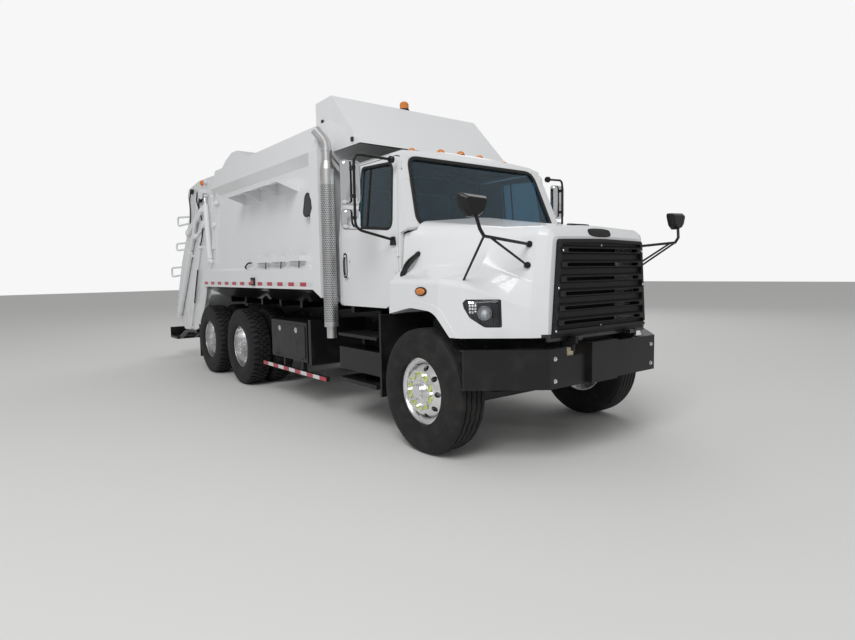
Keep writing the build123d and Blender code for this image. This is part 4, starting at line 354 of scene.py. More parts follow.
def upward_facing():
    """How far the skin faces up, from -1 to 1."""
    facing = Signal.node("NewGeometry", output="Normal")
    return Signal.node("SeparateXYZ", sockets={0: facing}, output="Z")


def below_the_grille():
    return (along("X") > GRILLE_FOOT_X) * (along("Z") < GRILLE_FOOT_Z)


# Painted shade: downward faces of the load body below the sill are turned black.
def painted_shade_under_body():
    return (along("X") < BODY_FRONT_X) * (along("Z") < BODY_SILL_Z) * (upward_facing() < -0.05)


# Painted shade: faces of the shield that look down are turned black.
def painted_shade_facing_down():
    return upward_facing() < -0.3


def white_with_black(where):
    """Recipe for white paint that turns black where a mask is 1."""

    def recipe():
        parts = white_paint()
        parts["Base Color"] = mixed(where(), parts["Base Color"], black_paint()["Base Color"])
        return parts

    return recipe


finish("hood_paint", white_with_black(below_the_grille))
# The load body's white paint, with painted shade underneath.
finish("body_paint_and_shade", white_with_black(painted_shade_under_body))
# The shield's white paint, with painted shade on its downward faces.
finish("shield_paint_and_shade", white_with_black(painted_shade_facing_down))

# %% [markdown]
# ## Bright metals
# Wheels and fuel tank are polished aluminium with faint marks, the door mirrors are bright chrome, and the
# cylinder rods are hard chrome. Each is a metal with its own roughness, because that is what tells them
# apart.

# %% Aluminium and chrome
def polished_aluminium():
    marks = noise(26, 4)
    return {
        "Base Color": mixed(marks, tint(0.80, 0.80, 0.81), tint(0.90, 0.90, 0.91)),
        "Metallic": 1.0,
        "Roughness": 0.19 + marks * 0.13,
        "Normal": bump(noise(14, 2), 0.0003),
    }


def chrome():
    return {
        "Base Color": tint(0.83, 0.84, 0.86),
        "Metallic": 1.0,
        "Roughness": 0.05 + noise(18) * 0.06,
    }


def rod_chrome():
    return {
        "Base Color": tint(0.72, 0.73, 0.75),
        "Metallic": 1.0,
        "Roughness": 0.1 + noise(60, 3) * 0.12,
    }


for metal in (polished_aluminium, chrome, rod_chrome):
    finish(metal.__name__, metal)

# %% [markdown]
# ## Exhaust steel
# The exhaust pipe is dull steel, and a guard full of round holes stands round it. Thousands of real holes
# would cost more faces than the rest of the truck, so the finish paints them as dark spots, which are painted
# shade for the dark inside the guard: it unrolls the guard by the angle round its axis, and shifts every
# second row by half a pitch.

# %% Perforated steel
STACK_X, STACK_Y = FRONT_X - 1.605, -1.150
GUARD_R, GUARD_FOOT, GUARD_HEAD = 0.075, 1.03, 2.46
HOLE_PITCH, ROW_SHARE, HOLE_SIZE = 0.022, 0.87, 0.115
PIPE_R_SQUARED = 0.0042


def stack_steel():
    bloom = ramp(noise(7, 4), 0.3, 0.75)
    aside, ahead = along("Y") - STACK_Y, along("X") - STACK_X
    row = along("Z") / (HOLE_PITCH * ROW_SHARE)
    column = aside.maths("ARCTAN2", ahead) * (GUARD_R / HOLE_PITCH) + row.maths("FLOOR") * 0.5
    across, upward = column.maths("FRACT") - 0.5, row.maths("FRACT") - 0.5
    on_the_guard = aside * aside + ahead * ahead > PIPE_R_SQUARED
    # Painted shade: the holes are near black and barely metallic, for the dark inside the guard.
    painted_hole_shade = (across * across + upward * upward < HOLE_SIZE) * on_the_guard
    painted_hole_shade = painted_hole_shade * (along("Z") > GUARD_FOOT) * (along("Z") < GUARD_HEAD)
    steel = mixed(bloom, tint(0.66, 0.68, 0.70), tint(0.56, 0.55, 0.53))
    return {
        "Base Color": mixed(painted_hole_shade, steel, tint(0.05, 0.055, 0.06)),
        "Metallic": 0.9 - painted_hole_shade * 0.8,
        "Roughness": 0.3 + bloom * 0.12,
        "Normal": bump(noise(120, 3), 0.0005),
    }


finish("stack_steel", stack_steel)

# %% [markdown]
# ## Rough iron and primer
# Engine, gearbox and frame bolts are cast iron with a gritty skin, and the tow hooks are in beige primer.
# Both scatter the light so widely that grit in the relief matters more than their colour.

# %% Cast iron and primer
def cast_iron():
    grit = noise(160, 4)
    return {
        "Base Color": mixed(noise(9, 4), tint(0.035, 0.033, 0.032), tint(0.09, 0.075, 0.06)),
        "Metallic": 0.3,
        "Roughness": 0.62 + grit * 0.2,
        "Normal": bump(grit, 0.0016),
    }


def beige_primer():
    grit = noise(120, 3)
    return {
        "Base Color": mixed(noise(12, 4), tint(0.40, 0.34, 0.24), tint(0.52, 0.46, 0.34)),
        "Roughness": 0.58 + grit * 0.15,
        "Normal": bump(grit, 0.0008),
    }


for rough in (cast_iron, beige_primer):
    finish(rough.__name__, rough)

# %% [markdown]
# ## Rubber
# Rubber is dark and dull, and greys with dust. The tyres carry more of it than the seals and flaps, so
# they have a finish of their own.

# %% Tyre and sheet rubber
def tyre_rubber():
    dust = ramp(noise(11, 5), 0.4, 0.85)
    return {
        "Base Color": mixed(dust, tint(0.010, 0.010, 0.011), tint(0.034, 0.031, 0.028)),
        "Roughness": 0.66 + dust * 0.2,
        "Specular IOR Level": 0.35,
        "Normal": bump(noise(210, 3), 0.0006),
    }


def sheet_rubber():
    return {
        "Base Color": mixed(noise(14, 4), tint(0.011, 0.011, 0.011), tint(0.024, 0.023, 0.022)),
        "Roughness": 0.6 + noise(40) * 0.2,
        "Specular IOR Level": 0.35,
        "Normal": bump(noise(90, 3), 0.001),
    }


for rubber in (tyre_rubber, sheet_rubber):
    finish(rubber.__name__, rubber)

# %% [markdown]
# ## Plastic and cloth
# Plastic trim has a fine grain, lamp housings are smooth and a little glossy, and the nut pointers are
# yellow-green. The seats are woven cloth: two waves that cross make the weave, and a picture of cloth
# isn't needed.

# %% Plastics and seat cloth
WEAVE_SCALE = 150.0


def dark_plastic():
    grain = noise(620, 3)
    return {
        "Base Color": mixed(noise(12, 3), tint(0.008, 0.008, 0.010), tint(0.017, 0.017, 0.020)),
        "Roughness": 0.40 + grain * 0.16,
        "Specular IOR Level": 0.35,
        "Normal": bump(grain, 0.0005),
    }


def lamp_plastic():
    return {
        "Base Color": mixed(noise(20), tint(0.008, 0.009, 0.010), tint(0.022, 0.022, 0.026)),
        "Roughness": 0.16 + noise(30) * 0.1,
        "Specular IOR Level": 0.35,
        "Coat Weight": 0.3,
    }


def pointer_plastic():
    return {
        "Base Color": mixed(noise(60), tint(0.50, 0.62, 0.06), tint(0.62, 0.74, 0.12)),
        "Roughness": 0.4 + noise(90) * 0.1,
    }


def seat_cloth():
    weave = ribs("Y", WEAVE_SCALE) * ribs("Z", WEAVE_SCALE)
    return {
        "Base Color": mixed(weave, tint(0.03, 0.032, 0.036), tint(0.075, 0.078, 0.085)),
        "Roughness": 0.86 + noise(9) * 0.1,
        "Normal": bump(weave, 0.0008),
    }


for dull in (dark_plastic, lamp_plastic, pointer_plastic, seat_cloth):
    finish(dull.__name__, dull)

# %% [markdown]
# ## Lenses and glass
# The lenses let some light through and have fine upright ribs inside. The windows have a grey-blue tint,
# and the headlamp's cover is clear. Its real index would hide the lamp behind a mirror of the sky at this
# thickness, so it is lowered.

# %% Lenses and glass
LENS_COLOURS = {
    "amber_lens": (0.78, 0.24, 0.02),
    "red_lens": (0.42, 0.012, 0.012),
    "clear_lens": (0.75, 0.78, 0.8),
}
RIB_SCALE = 90.0


def lens(colour):
    """Recipe for a moulded lens of one colour, with fine upright ribs inside."""

    def recipe():
        waves = ribs("Y", RIB_SCALE)
        lighter = [min(1.0, part * 1.25) for part in colour]
        return {
            "Base Color": mixed(waves, tint(*colour), tint(*lighter)),
            "Roughness": 0.12 + noise(30) * 0.06,
            "Transmission Weight": 0.25,
            "Coat Weight": 0.7,
            "Normal": bump(waves, 0.0006),
        }

    return recipe


def window_glass():
    return {
        "Base Color": mixed(noise(2), tint(0.14, 0.26, 0.34), tint(0.17, 0.30, 0.38)),
        "Roughness": 0.01 + noise(5) * 0.015,
        "Transmission Weight": 0.94,
        "IOR": 1.45,
    }


def clear_glass():
    return {
        "Base Color": mixed(noise(6), tint(0.96, 0.97, 0.98), tint(0.99, 0.99, 1.0)),
        "Roughness": 0.01 + noise(9) * 0.01,
        "Transmission Weight": 1.0,
        "IOR": 1.22,
    }


for glass in (window_glass, clear_glass):
    finish(glass.__name__, glass)
for name, colour in LENS_COLOURS.items():
    finish(name, lens(colour))

# %% [markdown]
# ## Giving the solids their finish
# The packed record says which material slot each node has. One table turns slots into finishes, so a node
# that joins the model later is painted too.

# %% Paint the CAD nodes
FINISH_OF_SLOT = {
    "white_paint": "white_paint",
    "black_paint": "black_paint",
    "iron": "cast_iron",
    "dark_plastic": "dark_plastic",
    "lamp_plastic": "lamp_plastic",
    "aluminium": "polished_aluminium",
    "primer": "beige_primer",
    "stack_steel": "stack_steel",
    "rod_chrome": "rod_chrome",
    "tyre": "tyre_rubber",
    "rubber": "sheet_rubber",
    "glass": "window_glass",
    "amber": "amber_lens",
    "red_lamp": "red_lens",
    "seat_fabric": "seat_cloth",
}
# Body and shield get white paint with painted shade on their undersides; the hood gets its black lip.
PAINT_MASKED_NODES = {"hood": "hood_paint", "body_shell": "body_paint_and_shade", "cab_shield": "shield_paint_and_shade"}

slot_of_node = {part["node"]: part["material_slot"] for part in frame["record"]["subparts"]}
for name, solid in nodes.items():
    look = PAINT_MASKED_NODES.get(name, FINISH_OF_SLOT[slot_of_node[name]])
    solid.data.materials.clear()
    solid.data.materials.append(FINISHES[look])
print("painted nodes:", len(nodes))

# %% [markdown]
# ## Shape tools
# What is too fine for the CAD model is made here in mesh code. A Shape collects many small solids in one
# mesh, so that forty bolts are one piece. Every solid comes from rings of points joined by faces, because a
# tube, a turned part and a plate are all that.

# %% A mesh that grows solid by solid
def turns(count):
    """So many equal angles round a circle."""
    return [2 * math.pi * step / count for step in range(count)]


def rectangle(low_a, high_a, low_b, high_b):
    """Corners of a rectangle, in order."""
    return [(low_a, low_b), (high_a, low_b), (high_a, high_b), (low_a, high_b)]


def ring_on(centre, across, upward, outline, scale=1.0):
    """An outline laid round a point, in the plane of two directions."""
    return [centre + across * (a * scale) + upward * (b * scale) for a, b in outline]


class Shape:
    """Mesh for one piece, to which solids are added one by one."""

    def __init__(self):
        self.mesh = bmesh.new()

    def rings(self, rings, wrap=False):
        """Joins rings of points with faces and closes the ends. With wrap, the last ring joins the first."""
        rows = [[self.mesh.verts.new(point) for point in ring] for ring in rings]
        following = rows[1:] + rows[:1] if wrap else rows[1:]
        for row, after in zip(rows, following):
            for here in range(len(row)):
                there = (here + 1) % len(row)
                self.mesh.faces.new((row[here], row[there], after[there], after[here]))
        if not wrap:
            self.mesh.faces.new(rows[0][::-1])
            self.mesh.faces.new(rows[-1])

    def plate(self, outline, thickness):
        """Flat plate from its outline, thickened by a vector."""
        self.rings([outline, [point + thickness for point in outline]])

    def block(self, centre, size, along_x=X, along_y=Y):
        """Box with its middle, its three sizes and the directions of the first two."""
        along_z = along_x.cross(along_y)
        half_x, half_y = size[0] / 2, size[1] / 2
        foot = ring_on(centre, along_x, along_y, rectangle(-half_x, half_x, -half_y, half_y))
        self.plate([point - along_z * (size[2] / 2) for point in foot], along_z * size[2])

    def turned(self, centre, axis, profile, steps=32, wrap=False):
        """Turned solid. Each row of the profile is a distance along the axis and a radius."""
        axis = axis.normalized()
        first = axis.orthogonal().normalized()
        second = axis.cross(first)
        arms = [first * math.cos(turn) + second * math.sin(turn) for turn in turns(steps)]
        rings = []
        for far, radius in profile:
            rings.append([centre + axis * far + arm * max(radius, 1e-5) for arm in arms])
        self.rings(rings, wrap)

    def tube(self, path, radius, sides=10, loop=False, flat=None):
        """Bar along a path. flat is a direction and the share of the radius that it has that way."""
        rings = []
        across = None
        squeeze = flat[1] if flat else 1
        for spot, point in enumerate(path):
            before = path[spot - 1] if spot or loop else point
            after = path[(spot + 1) % len(path)] if spot < len(path) - 1 or loop else point
            run = (after - before).normalized()
            across = flat[0] if flat else (across or run.orthogonal())
            across = (across - run * across.dot(run)).normalized()
            other = run.cross(across)
            arms = [across * (math.cos(turn) * squeeze) + other * math.sin(turn) for turn in turns(sides)]
            rings.append([point + arm * radius for arm in arms])
        self.rings(rings, wrap=loop)


print("shape tools are ready")

# %% [markdown]
# ## From shape to piece
# A finished Shape becomes an object with smooth faces and sharp edges, and rides on the body that it is
# fixed to, so that it moves with a door or a wheel. A narrow bevel catches the light on edges that would
# otherwise look cut out of paper. It is a modifier, so its width can still be changed.

# %% Finish a piece
WELD = 1e-6


def piece(name, body, look, shape, edge=0.0, crease=32):
    """Object from a Shape in a finish, which moves with a body. edge is the width of its bevelled edges."""
    bmesh.ops.remove_doubles(shape.mesh, verts=shape.mesh.verts, dist=WELD)
    bmesh.ops.recalc_face_normals(shape.mesh, faces=shape.mesh.faces)
    mesh = bpy.data.meshes.new(name)
    shape.mesh.to_mesh(mesh)
    shape.mesh.free()
    mesh.materials.append(FINISHES[look])
    mesh.shade_smooth()
    mesh.set_sharp_from_angle(angle=math.radians(crease))
    thing = bpy.data.objects.new(name, mesh)
    bpy.context.scene.collection.objects.link(thing)
    if edge:
        bevel = thing.modifiers.new("edges", "BEVEL")
        bevel.width = edge
        bevel.segments = 2
        bevel.limit_method = "ANGLE"
        bevel.harden_normals = True
    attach(thing, body)
    print(f"{name}: {len(mesh.polygons)} faces, on {body}")
    return thing


def eased(points, cut, loop=False, steps=6):
    """The same line with its corners rounded, starting so far from each corner."""
    path = [] if loop else [points[0]]
    cuts = cut if isinstance(cut, (list, tuple)) else [cut] * len(points)
    corners = range(len(points)) if loop else range(1, len(points) - 1)
    for spot in corners:
        before, corner, after = points[spot - 1], points[spot], points[(spot + 1) % len(points)]
        start = corner + (before - corner).normalized() * min(cuts[spot], (before - corner).length * 0.49)
        end = corner + (after - corner).normalized() * min(cuts[spot], (after - corner).length * 0.49)
        for step in range(steps + 1):
            share = step / steps
            path.append(start * (1 - share) ** 2 + corner * (2 * share * (1 - share)) + end * share**2)
    return path if loop else path + [points[-1]]


# %% [markdown]
# ## Tyre sections
# A tyre is its cross section swept round the axle: bead, sidewall with its mould rings, shoulder and tread.
# The front tyres have plain ribs, and their grooves are part of the section.

# %% Cross section of a tyre
TYRE_WIDTH = {"front": 0.31, "rear": 0.28}
# Rows from the bead outwards: how far in from the tyre's widest plane, and the radius.
SIDEWALL = (
    (0.034, 0.284), (0.016, 0.288), (0.009, 0.302), (0.010, 0.309), (0.004, 0.322), (0.001, 0.352),
    (0, 0.388), (0.0005, 0.420), (0.0025, 0.4215), (0.0025, 0.4265), (0.0012, 0.428), (0.005, 0.462),
    (0.012, 0.490), (0.020, 0.508),
)
SHOULDER = ((0.036, 0.527), (0.052, 0.5315))
LUG_HEIGHT = 0.018
GROOVES = (-0.078, -0.027, 0.027, 0.078)
GROOVE_DEPTH, GROOVE_LIP, GROOVE_FOOT = 0.013, 0.008, 0.005
TREAD_CROWN, TREAD_INSET = 0.18, 0.0006


def tyre_section(width, grooved):
    """Whole cross section, bead to bead, as rows of side and radius. Without grooves it is a carcass."""
    sink = 0.0 if grooved else LUG_HEIGHT
    side = [(width / 2 - inset, radius) for inset, radius in SIDEWALL]
    side += [(width / 2 - inset, radius - sink) for inset, radius in SHOULDER]
    tread = [(0.0, LUG_HEIGHT)]
    if grooved:
        lips = ((-GROOVE_LIP, 0), (-GROOVE_FOOT, GROOVE_DEPTH), (GROOVE_FOOT, GROOVE_DEPTH), (GROOVE_LIP, 0))
        tread = [(groove + y, depth) for groove in GROOVES for y, depth in lips]
    crown = [(y, TYRE_R - TREAD_INSET - TREAD_CROWN * y * y - depth) for y, depth in tread]
    return [(-y, r) for y, r in side] + crown + [(y, r) for y, r in reversed(side)]


print("rows in a front section:", len(tyre_section(TYRE_WIDTH["front"], True)))

# %% [markdown]
# ## Tread
# The ribs of a front tyre wander in a zigzag, and the rear tyres have chunky lugs for soft ground. The lugs
# are separate blocks set round a smaller carcass, because a carved tread would need far more faces for
# the same crisp edges.

# %% Ribs and lugs
ZIGZAG, ZIGZAG_STEPS, RIBS_HALF_WIDTH = 0.0035, 4, 0.09
LUG_PITCHES, LUG_INSET = 44, 0.0008
SHOULDER_SWEEP, INNER_START, INNER_SWEEP = 0.62, 0.3, 0.74
LUG_TAPER, LUG_TAPER_R = 0.12, 0.52


def around(centre, y, radius, turn):
    """Point on a wheel, from the wheel's middle, its own Y, a radius and an angle."""
    return Vector((centre.x + radius * math.sin(turn), y, centre.z + radius * math.cos(turn)))


def add_tyre(shape, centre, width, grooved, steps=120):
    """Adds one tyre round a wheel's middle."""
    rings = []
    for step, turn in enumerate(turns(steps)):
        swing = ZIGZAG if step % ZIGZAG_STEPS < ZIGZAG_STEPS / 2 else -ZIGZAG
        ring = []
        for y, radius in tyre_section(width, grooved):
            shift = swing if grooved and abs(y) < RIBS_HALF_WIDTH else 0.0
            ring.append(around(centre, centre.y + y + shift, radius, turn))
        rings.append(ring)
    shape.rings(rings, wrap=True)


def add_lug(shape, centre, section, start, sweep):
    """Adds one tread block: its cross section swept through a small angle, a little narrower at its top."""
    rings = []
    for share in (0.0, 0.5, 1.0):
        ring = []
        for y, radius in section:
            pull = LUG_TAPER * (radius > LUG_TAPER_R) * (0.5 - share)
            ring.append(around(centre, centre.y + y, radius, start + sweep * (share + pull)))
        rings.append(ring)
    shape.rings(rings)


def add_lugs(shape, centre, width):
    """Adds the tread of a lugged tyre: two rows of shoulder lugs and a staggered pair in the middle."""
    half, top = width / 2, TYRE_R - LUG_INSET
    shoulder = [
        (half - 0.092, top - 0.001), (half - 0.046, 0.5315), (half - 0.024, 0.519), (half - 0.011, 0.489),
        (half - 0.026, 0.487), (half - 0.05, 0.507), (half - 0.09, 0.512),
    ]
    inner = [(0.004, top), (0.040, top - 0.0005), (0.038, 0.513), (0.006, 0.513)]
    pitch = 2 * math.pi / LUG_PITCHES
    for count in range(LUG_PITCHES):
        for side in (RIGHT, LEFT):
            start = pitch * (count + (0.5 if side == LEFT else 0.0))
            add_lug(shape, centre, [(side * y, r) for y, r in shoulder], start, pitch * SHOULDER_SWEEP)
            inner_start = start + pitch * INNER_START
            add_lug(shape, centre, [(side * y, r) for y, r in inner], inner_start, pitch * INNER_SWEEP)


print("lugs on a rear tyre:", 4 * LUG_PITCHES)

# %% [markdown]
# ## Tyres in place of the plain rings
# The CAD model has plain rings for its checks. Each dressed tyre takes the place of its ring, so that two
# surfaces never lie in one another. The rear wheels are twins, and a pair is one piece.

# %% All the tyres
TWIN_PITCH = 0.34

for name, side in SIDES.items():
    shape = Shape()
    centre = Vector((FRONT_X, side * (TYRE_OUT - TYRE_WIDTH["front"] / 2), AXLE_Z))
    add_tyre(shape, centre, TYRE_WIDTH["front"], grooved=True)
    tyre = piece(f"tread_front_{name}", f"front_wheel_{name}", "tyre_rubber", shape)
    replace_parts(tyre, f"tyre_front_{name}")
    for axle, axle_x in REAR_X.items():
        shape = Shape()
        for inset in (0.0, TWIN_PITCH):
            centre = Vector((axle_x, side * (TYRE_OUT - inset - TYRE_WIDTH["rear"] / 2), AXLE_Z))
            add_tyre(shape, centre, TYRE_WIDTH["rear"], grooved=False, steps=96)
            add_lugs(shape, centre, TYRE_WIDTH["rear"])
        tyre = piece(f"tread_{axle}_{name}", f"rear_wheels_{axle}_{name}", "tyre_rubber", shape)
        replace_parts(tyre, f"tyres_{axle}_{name}")

# %% [markdown]
# ## Windshield seal
# Every pane sits in a black rubber seal. It is a flattened tube that follows the pane's rounded outline,
# worked out in the pane's own plane: across the truck, up the glass, and out of it.

# %% Windshield seal
SCREEN_FOOT, SCREEN_HEAD = (-0.330, 1.930), (-0.600, 2.640)
SCREEN_FOOT_HALF, SCREEN_HEAD_HALF = 0.930, 0.850
SCREEN_FOOT_GAP, SCREEN_HEAD_GAP = 0.040, 0.030
SCREEN_SEAL_R, SCREEN_SEAL_FLAT, SCREEN_SEAL_LIFT, SCREEN_BEND = 0.021, 0.42, 0.002, 0.11
screen_up = Vector((SCREEN_HEAD[0] - SCREEN_FOOT[0], 0, SCREEN_HEAD[1] - SCREEN_FOOT[1]))
screen_rise = screen_up.length
screen_up.normalize()
screen_out = Y.cross(screen_up).normalized()


def on_screen(y, up, out=0.0):
    """Point on the windshield's plane."""
    return at(SCREEN_FOOT[0], y, SCREEN_FOOT[1]) + screen_up * up + screen_out * out


screen_top = screen_rise - SCREEN_HEAD_GAP
screen_corners = [
    (-SCREEN_FOOT_HALF, SCREEN_FOOT_GAP), (SCREEN_FOOT_HALF, SCREEN_FOOT_GAP),
    (SCREEN_HEAD_HALF, screen_top), (-SCREEN_HEAD_HALF, screen_top),
]
shape = Shape()
outline = eased([on_screen(y, up, SCREEN_SEAL_LIFT) for y, up in screen_corners], SCREEN_BEND, loop=True)
shape.tube(outline, SCREEN_SEAL_R, loop=True, flat=(screen_out, SCREEN_SEAL_FLAT))
piece("windshield_seal", "chassis", "sheet_rubber", shape, crease=60)

# %% [markdown]
# ## Door and rear window seals
# The cab's sides lean inwards above the belt line, so each point of a door seal is laid on the wall at its
# own height. A thin bar divides the door's glass, and moves with the door. The rear pane is upright.

# %% Door and rear window seals
WALL_FOOT, WALL_HEAD = (1.060, 1.900), (0.985, 2.630)
WINDOW_CORNERS = [(-1.175, 1.995), (-0.582, 1.940), (-0.640, 2.555), (-1.175, 2.580)]
WINDOW_CUTS = [0.045, 0.09, 0.075, 0.035]
DOOR_SEAL_R, DOOR_SEAL_INSET = 0.015, 0.001
DIVIDER_X, DIVIDER_ENDS, DIVIDER_R, DIVIDER_INSET = -1.035, (1.985, 2.572), 0.011, 0.012
REAR_WINDOW_X, REAR_SEAL_R = -1.556, 0.014
REAR_WINDOW = rectangle(-0.42, 0.42, 1.96, 2.42)


def door_wall(z):
    """Half width of the cab's side at a height."""
    share = max(0.0, (z - WALL_FOOT[1]) / (WALL_HEAD[1] - WALL_FOOT[1]))
    return WALL_FOOT[0] + share * (WALL_HEAD[0] - WALL_FOOT[0])


for name, side in SIDES.items():
    wall_out = Vector((0, side * (WALL_HEAD[1] - WALL_FOOT[1]), WALL_FOOT[0] - WALL_HEAD[0])).normalized()
    shape = Shape()
    corners = [at(x, side * (door_wall(z) - DOOR_SEAL_INSET), z) for x, z in WINDOW_CORNERS]
    shape.tube(eased(corners, WINDOW_CUTS, loop=True), DOOR_SEAL_R, loop=True, flat=(wall_out, 0.5))
    divider = [at(DIVIDER_X, side * (door_wall(z) - DIVIDER_INSET), z) for z in DIVIDER_ENDS]
    shape.tube(divider, DIVIDER_R, flat=(wall_out, 0.6))
    piece(f"window_seal_{name}", f"door_{name}", "sheet_rubber", shape, crease=60)

shape = Shape()
shape.tube(facing_ahead(REAR_WINDOW_X, REAR_WINDOW), REAR_SEAL_R, loop=True, flat=(X, 0.5))
piece("rear_window_seal", "chassis", "sheet_rubber", shape, crease=60)

# %% [markdown]
# ## Tape finish
# Reflective tape is made of tiny prisms under a clear film. The cells of a Voronoi pattern stand for the
# prisms, in the colour and in the relief.

# %% Reflective tape
PRISM_SCALE = 170.0


def tape(colour):
    """Recipe for reflective tape of one colour."""

    def recipe():
        cells = Signal.node("TexVoronoi", {"feature": "F1"}, {"Vector": place(), "Scale": PRISM_SCALE})
        return {
            "Base Color": mixed(cells, tint(*colour), tint(*[part * 0.72 for part in colour])),
            "Roughness": 0.3 + noise(40) * 0.1,
            "Coat Weight": 0.5,
            "Normal": bump(cells, 0.0004),
        }

    return recipe


finish("tape_white", tape((0.80, 0.81, 0.82)))
finish("tape_red", tape((0.52, 0.012, 0.045)))

# %% [markdown]
# ## Marker tape
# Striped tape runs along the sill and the guard rail. A printed pattern could be a texture, but the blocks
# are large and plain, so each colour is its own thin strip and stays crisp at any distance.

# %% Red and white strips
SILL_TAPE = {"from": -5.60, "to": -1.872, "low": 1.402, "high": 1.447, "face": 1.2202, "blocks": 12}
GUARD_TAPE = {"from": -3.475, "to": -1.745, "low": 0.368, "high": 0.412, "face": 1.1602, "blocks": 5.5}
TAPE_THICKNESS, TAPE_END = 0.0012, 0.01


def add_strip(shape, side, strip, start, end):
    """Adds a thin strip of tape between two stations."""
    corners = rectangle(start, end, strip["low"], strip["high"])
    shape.plate(beside(side * strip["face"], corners), Vector((0, side * TAPE_THICKNESS, 0)))


for name, side in SIDES.items():
    for label, strip in (("sill", SILL_TAPE), ("guard", GUARD_TAPE)):
        period = (strip["to"] - strip["from"]) / strip["blocks"]
        red, white = Shape(), Shape()
        count = 0
        while strip["from"] + count * period < strip["to"] - TAPE_END:
            start = strip["from"] + count * period
            add_strip(red, side, strip, start, start + period / 2)
            if start + period < strip["to"] + TAPE_END:
                add_strip(white, side, strip, start + period / 2, start + period)
            count += 1
        piece(f"{label}_tape_red_{name}", "chassis", "tape_red", red)
        piece(f"{label}_tape_white_{name}", "chassis", "tape_white", white)

# %% [markdown]
# ## Mirror arms
# Each door carries its mirrors between two arms of a black tube bent like a C. The tube is one bar with
# eased corners. It ends in a turned foot above and a plate below, and small clamps hold the cases.

# %% Arms of the door mirrors
MIRROR_X, MIRROR_Y = -0.640, 1.420
ARM_X, ARM_R, ARM_BEND = -0.545, 0.0125, 0.075
# The arm's four corners: station, side and height.
ARM_CORNERS = (
    (ARM_X, 1.048, 2.560), (MIRROR_X + 0.02, MIRROR_Y, 2.588), (MIRROR_X + 0.02, MIRROR_Y, 1.932),
    (ARM_X, 1.072, 1.840),
)
CLAMP_HEIGHTS, CLAMP_SIZE = (2.47, 2.22, 2.03), (0.036, 0.034, 0.030)
ARM_FOOT = [(-0.585, 1.790), (-0.505, 1.790), (-0.520, 1.868), (-0.570, 1.868)]
ARM_HEAD = [(-0.026, 0.030), (0.004, 0.034), (0.016, 0.026), (0.018, 0.0)]

for name, side in SIDES.items():
    corners = [at(x, side * y, z) for x, y, z in ARM_CORNERS]
    shape = Shape()
    shape.tube(eased(corners, ARM_BEND), ARM_R)
    shape.turned(at(ARM_X, side * 1.078, 2.560), Y * side, ARM_HEAD)
    shape.plate(beside(side * 1.061, ARM_FOOT), Vector((0, side * 0.020, 0)))
    for z in CLAMP_HEIGHTS:
        shape.block(at(MIRROR_X + 0.004, side * MIRROR_Y, z), CLAMP_SIZE)
    arm = piece(f"mirror_arm_{name}", f"door_{name}", "black_paint", shape, edge=0.0015)
    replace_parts(arm, f"door_mirror_{name}")

# %% [markdown]
# ## Mirror cases and faces
# A tall flat mirror hangs above a smaller curved one. A case is a row of rounded rings that close towards
# the front. The face is another row with a slight bulge, more of it on the curved mirror, and a dark
# rim holds it.

# %% Cases, rims and faces
# Foot, top and half width of each case.
MIRROR_CASES = ((2.150, 2.540, 0.098), (1.935, 2.110, 0.093))
# Rows of a case: how far ahead of its middle, and the share of its width and height.
CASE_ROWS = (
    (0.026, 0.72, 0.9), (0.019, 0.88, 0.96), (0.004, 0.97, 0.99), (-0.018, 1.0, 1.0), (-0.030, 1.0, 1.0),
)
# Rows of a face: its size, its step out of the rim, and its share of the bulge.
FACE_ROWS = ((0.94, 0, 0), (0.7, 0.0005, 0.6), (0.4, 0.0005, 0.9), (0.05, 0.0005, 1.0))
FACE_X, CURVED_BULGE, FLAT_BULGE = -0.030, 0.006, 0.001
CASE_BEND, RIM_X, RIM_R, RIM_WIDE, RIM_HIGH = 0.04, -0.029, 0.005, 0.96, 0.985


def rounded_ring(centre, half_wide, half_high, cut, x):
    """Rectangle with round corners that faces forward."""
    corners = rectangle(-half_wide, half_wide, -half_high, half_high)
    points = [Vector((x, centre.y + y, centre.z + z)) for y, z in corners]
    return eased(points, cut, loop=True, steps=5)


for name, side in SIDES.items():
    cases, faces, rims = Shape(), Shape(), Shape()
    for low, high, half in MIRROR_CASES:
        centre = at(MIRROR_X - 0.04, side * (MIRROR_Y - 0.005), (low + high) / 2)
        half_high = (high - low) / 2
        rings = []
        for out, wide, tall in CASE_ROWS:
            rings.append(rounded_ring(centre, half * wide, half_high * tall, CASE_BEND, centre.x + out))
        cases.rings(rings)
        rim = rounded_ring(centre, half * RIM_WIDE, half_high * RIM_HIGH, CASE_BEND, centre.x + RIM_X)
        rims.tube(rim, RIM_R, loop=True, sides=8)
        bulge = CURVED_BULGE if half_high < 0.1 else FLAT_BULGE
        rings = []
        for size, step, share in FACE_ROWS:
            x = centre.x + FACE_X - step - bulge * share
            rings.append(rounded_ring(centre, half * size, half_high * size, 0.035 * size, x))
        faces.rings(rings)
    piece(f"mirror_cases_{name}", f"door_{name}", "chrome", cases, crease=50)
    piece(f"mirror_rims_{name}", f"door_{name}", "dark_plastic", rims, crease=60)
    piece(f"mirror_faces_{name}", f"door_{name}", "chrome", faces, crease=60)

# %% [markdown]
# ## Roof lamps
# Five amber markers stand along the roof's front edge, low and shaped like a drop. The drop is a dome whose
# rings are drawn out to the rear, and it stands where a line from above meets the crowned roof.

# %% Roof markers
ROOF_LAMP_X, ROOF_LAMP_Y = -0.808, (-0.640, -0.270, 0.0, 0.270, 0.640)
DROP_R, DROP_TAIL, DROP_STEPS = 0.046, 0.062, 28
ABOVE_THE_ROOF = 3.2
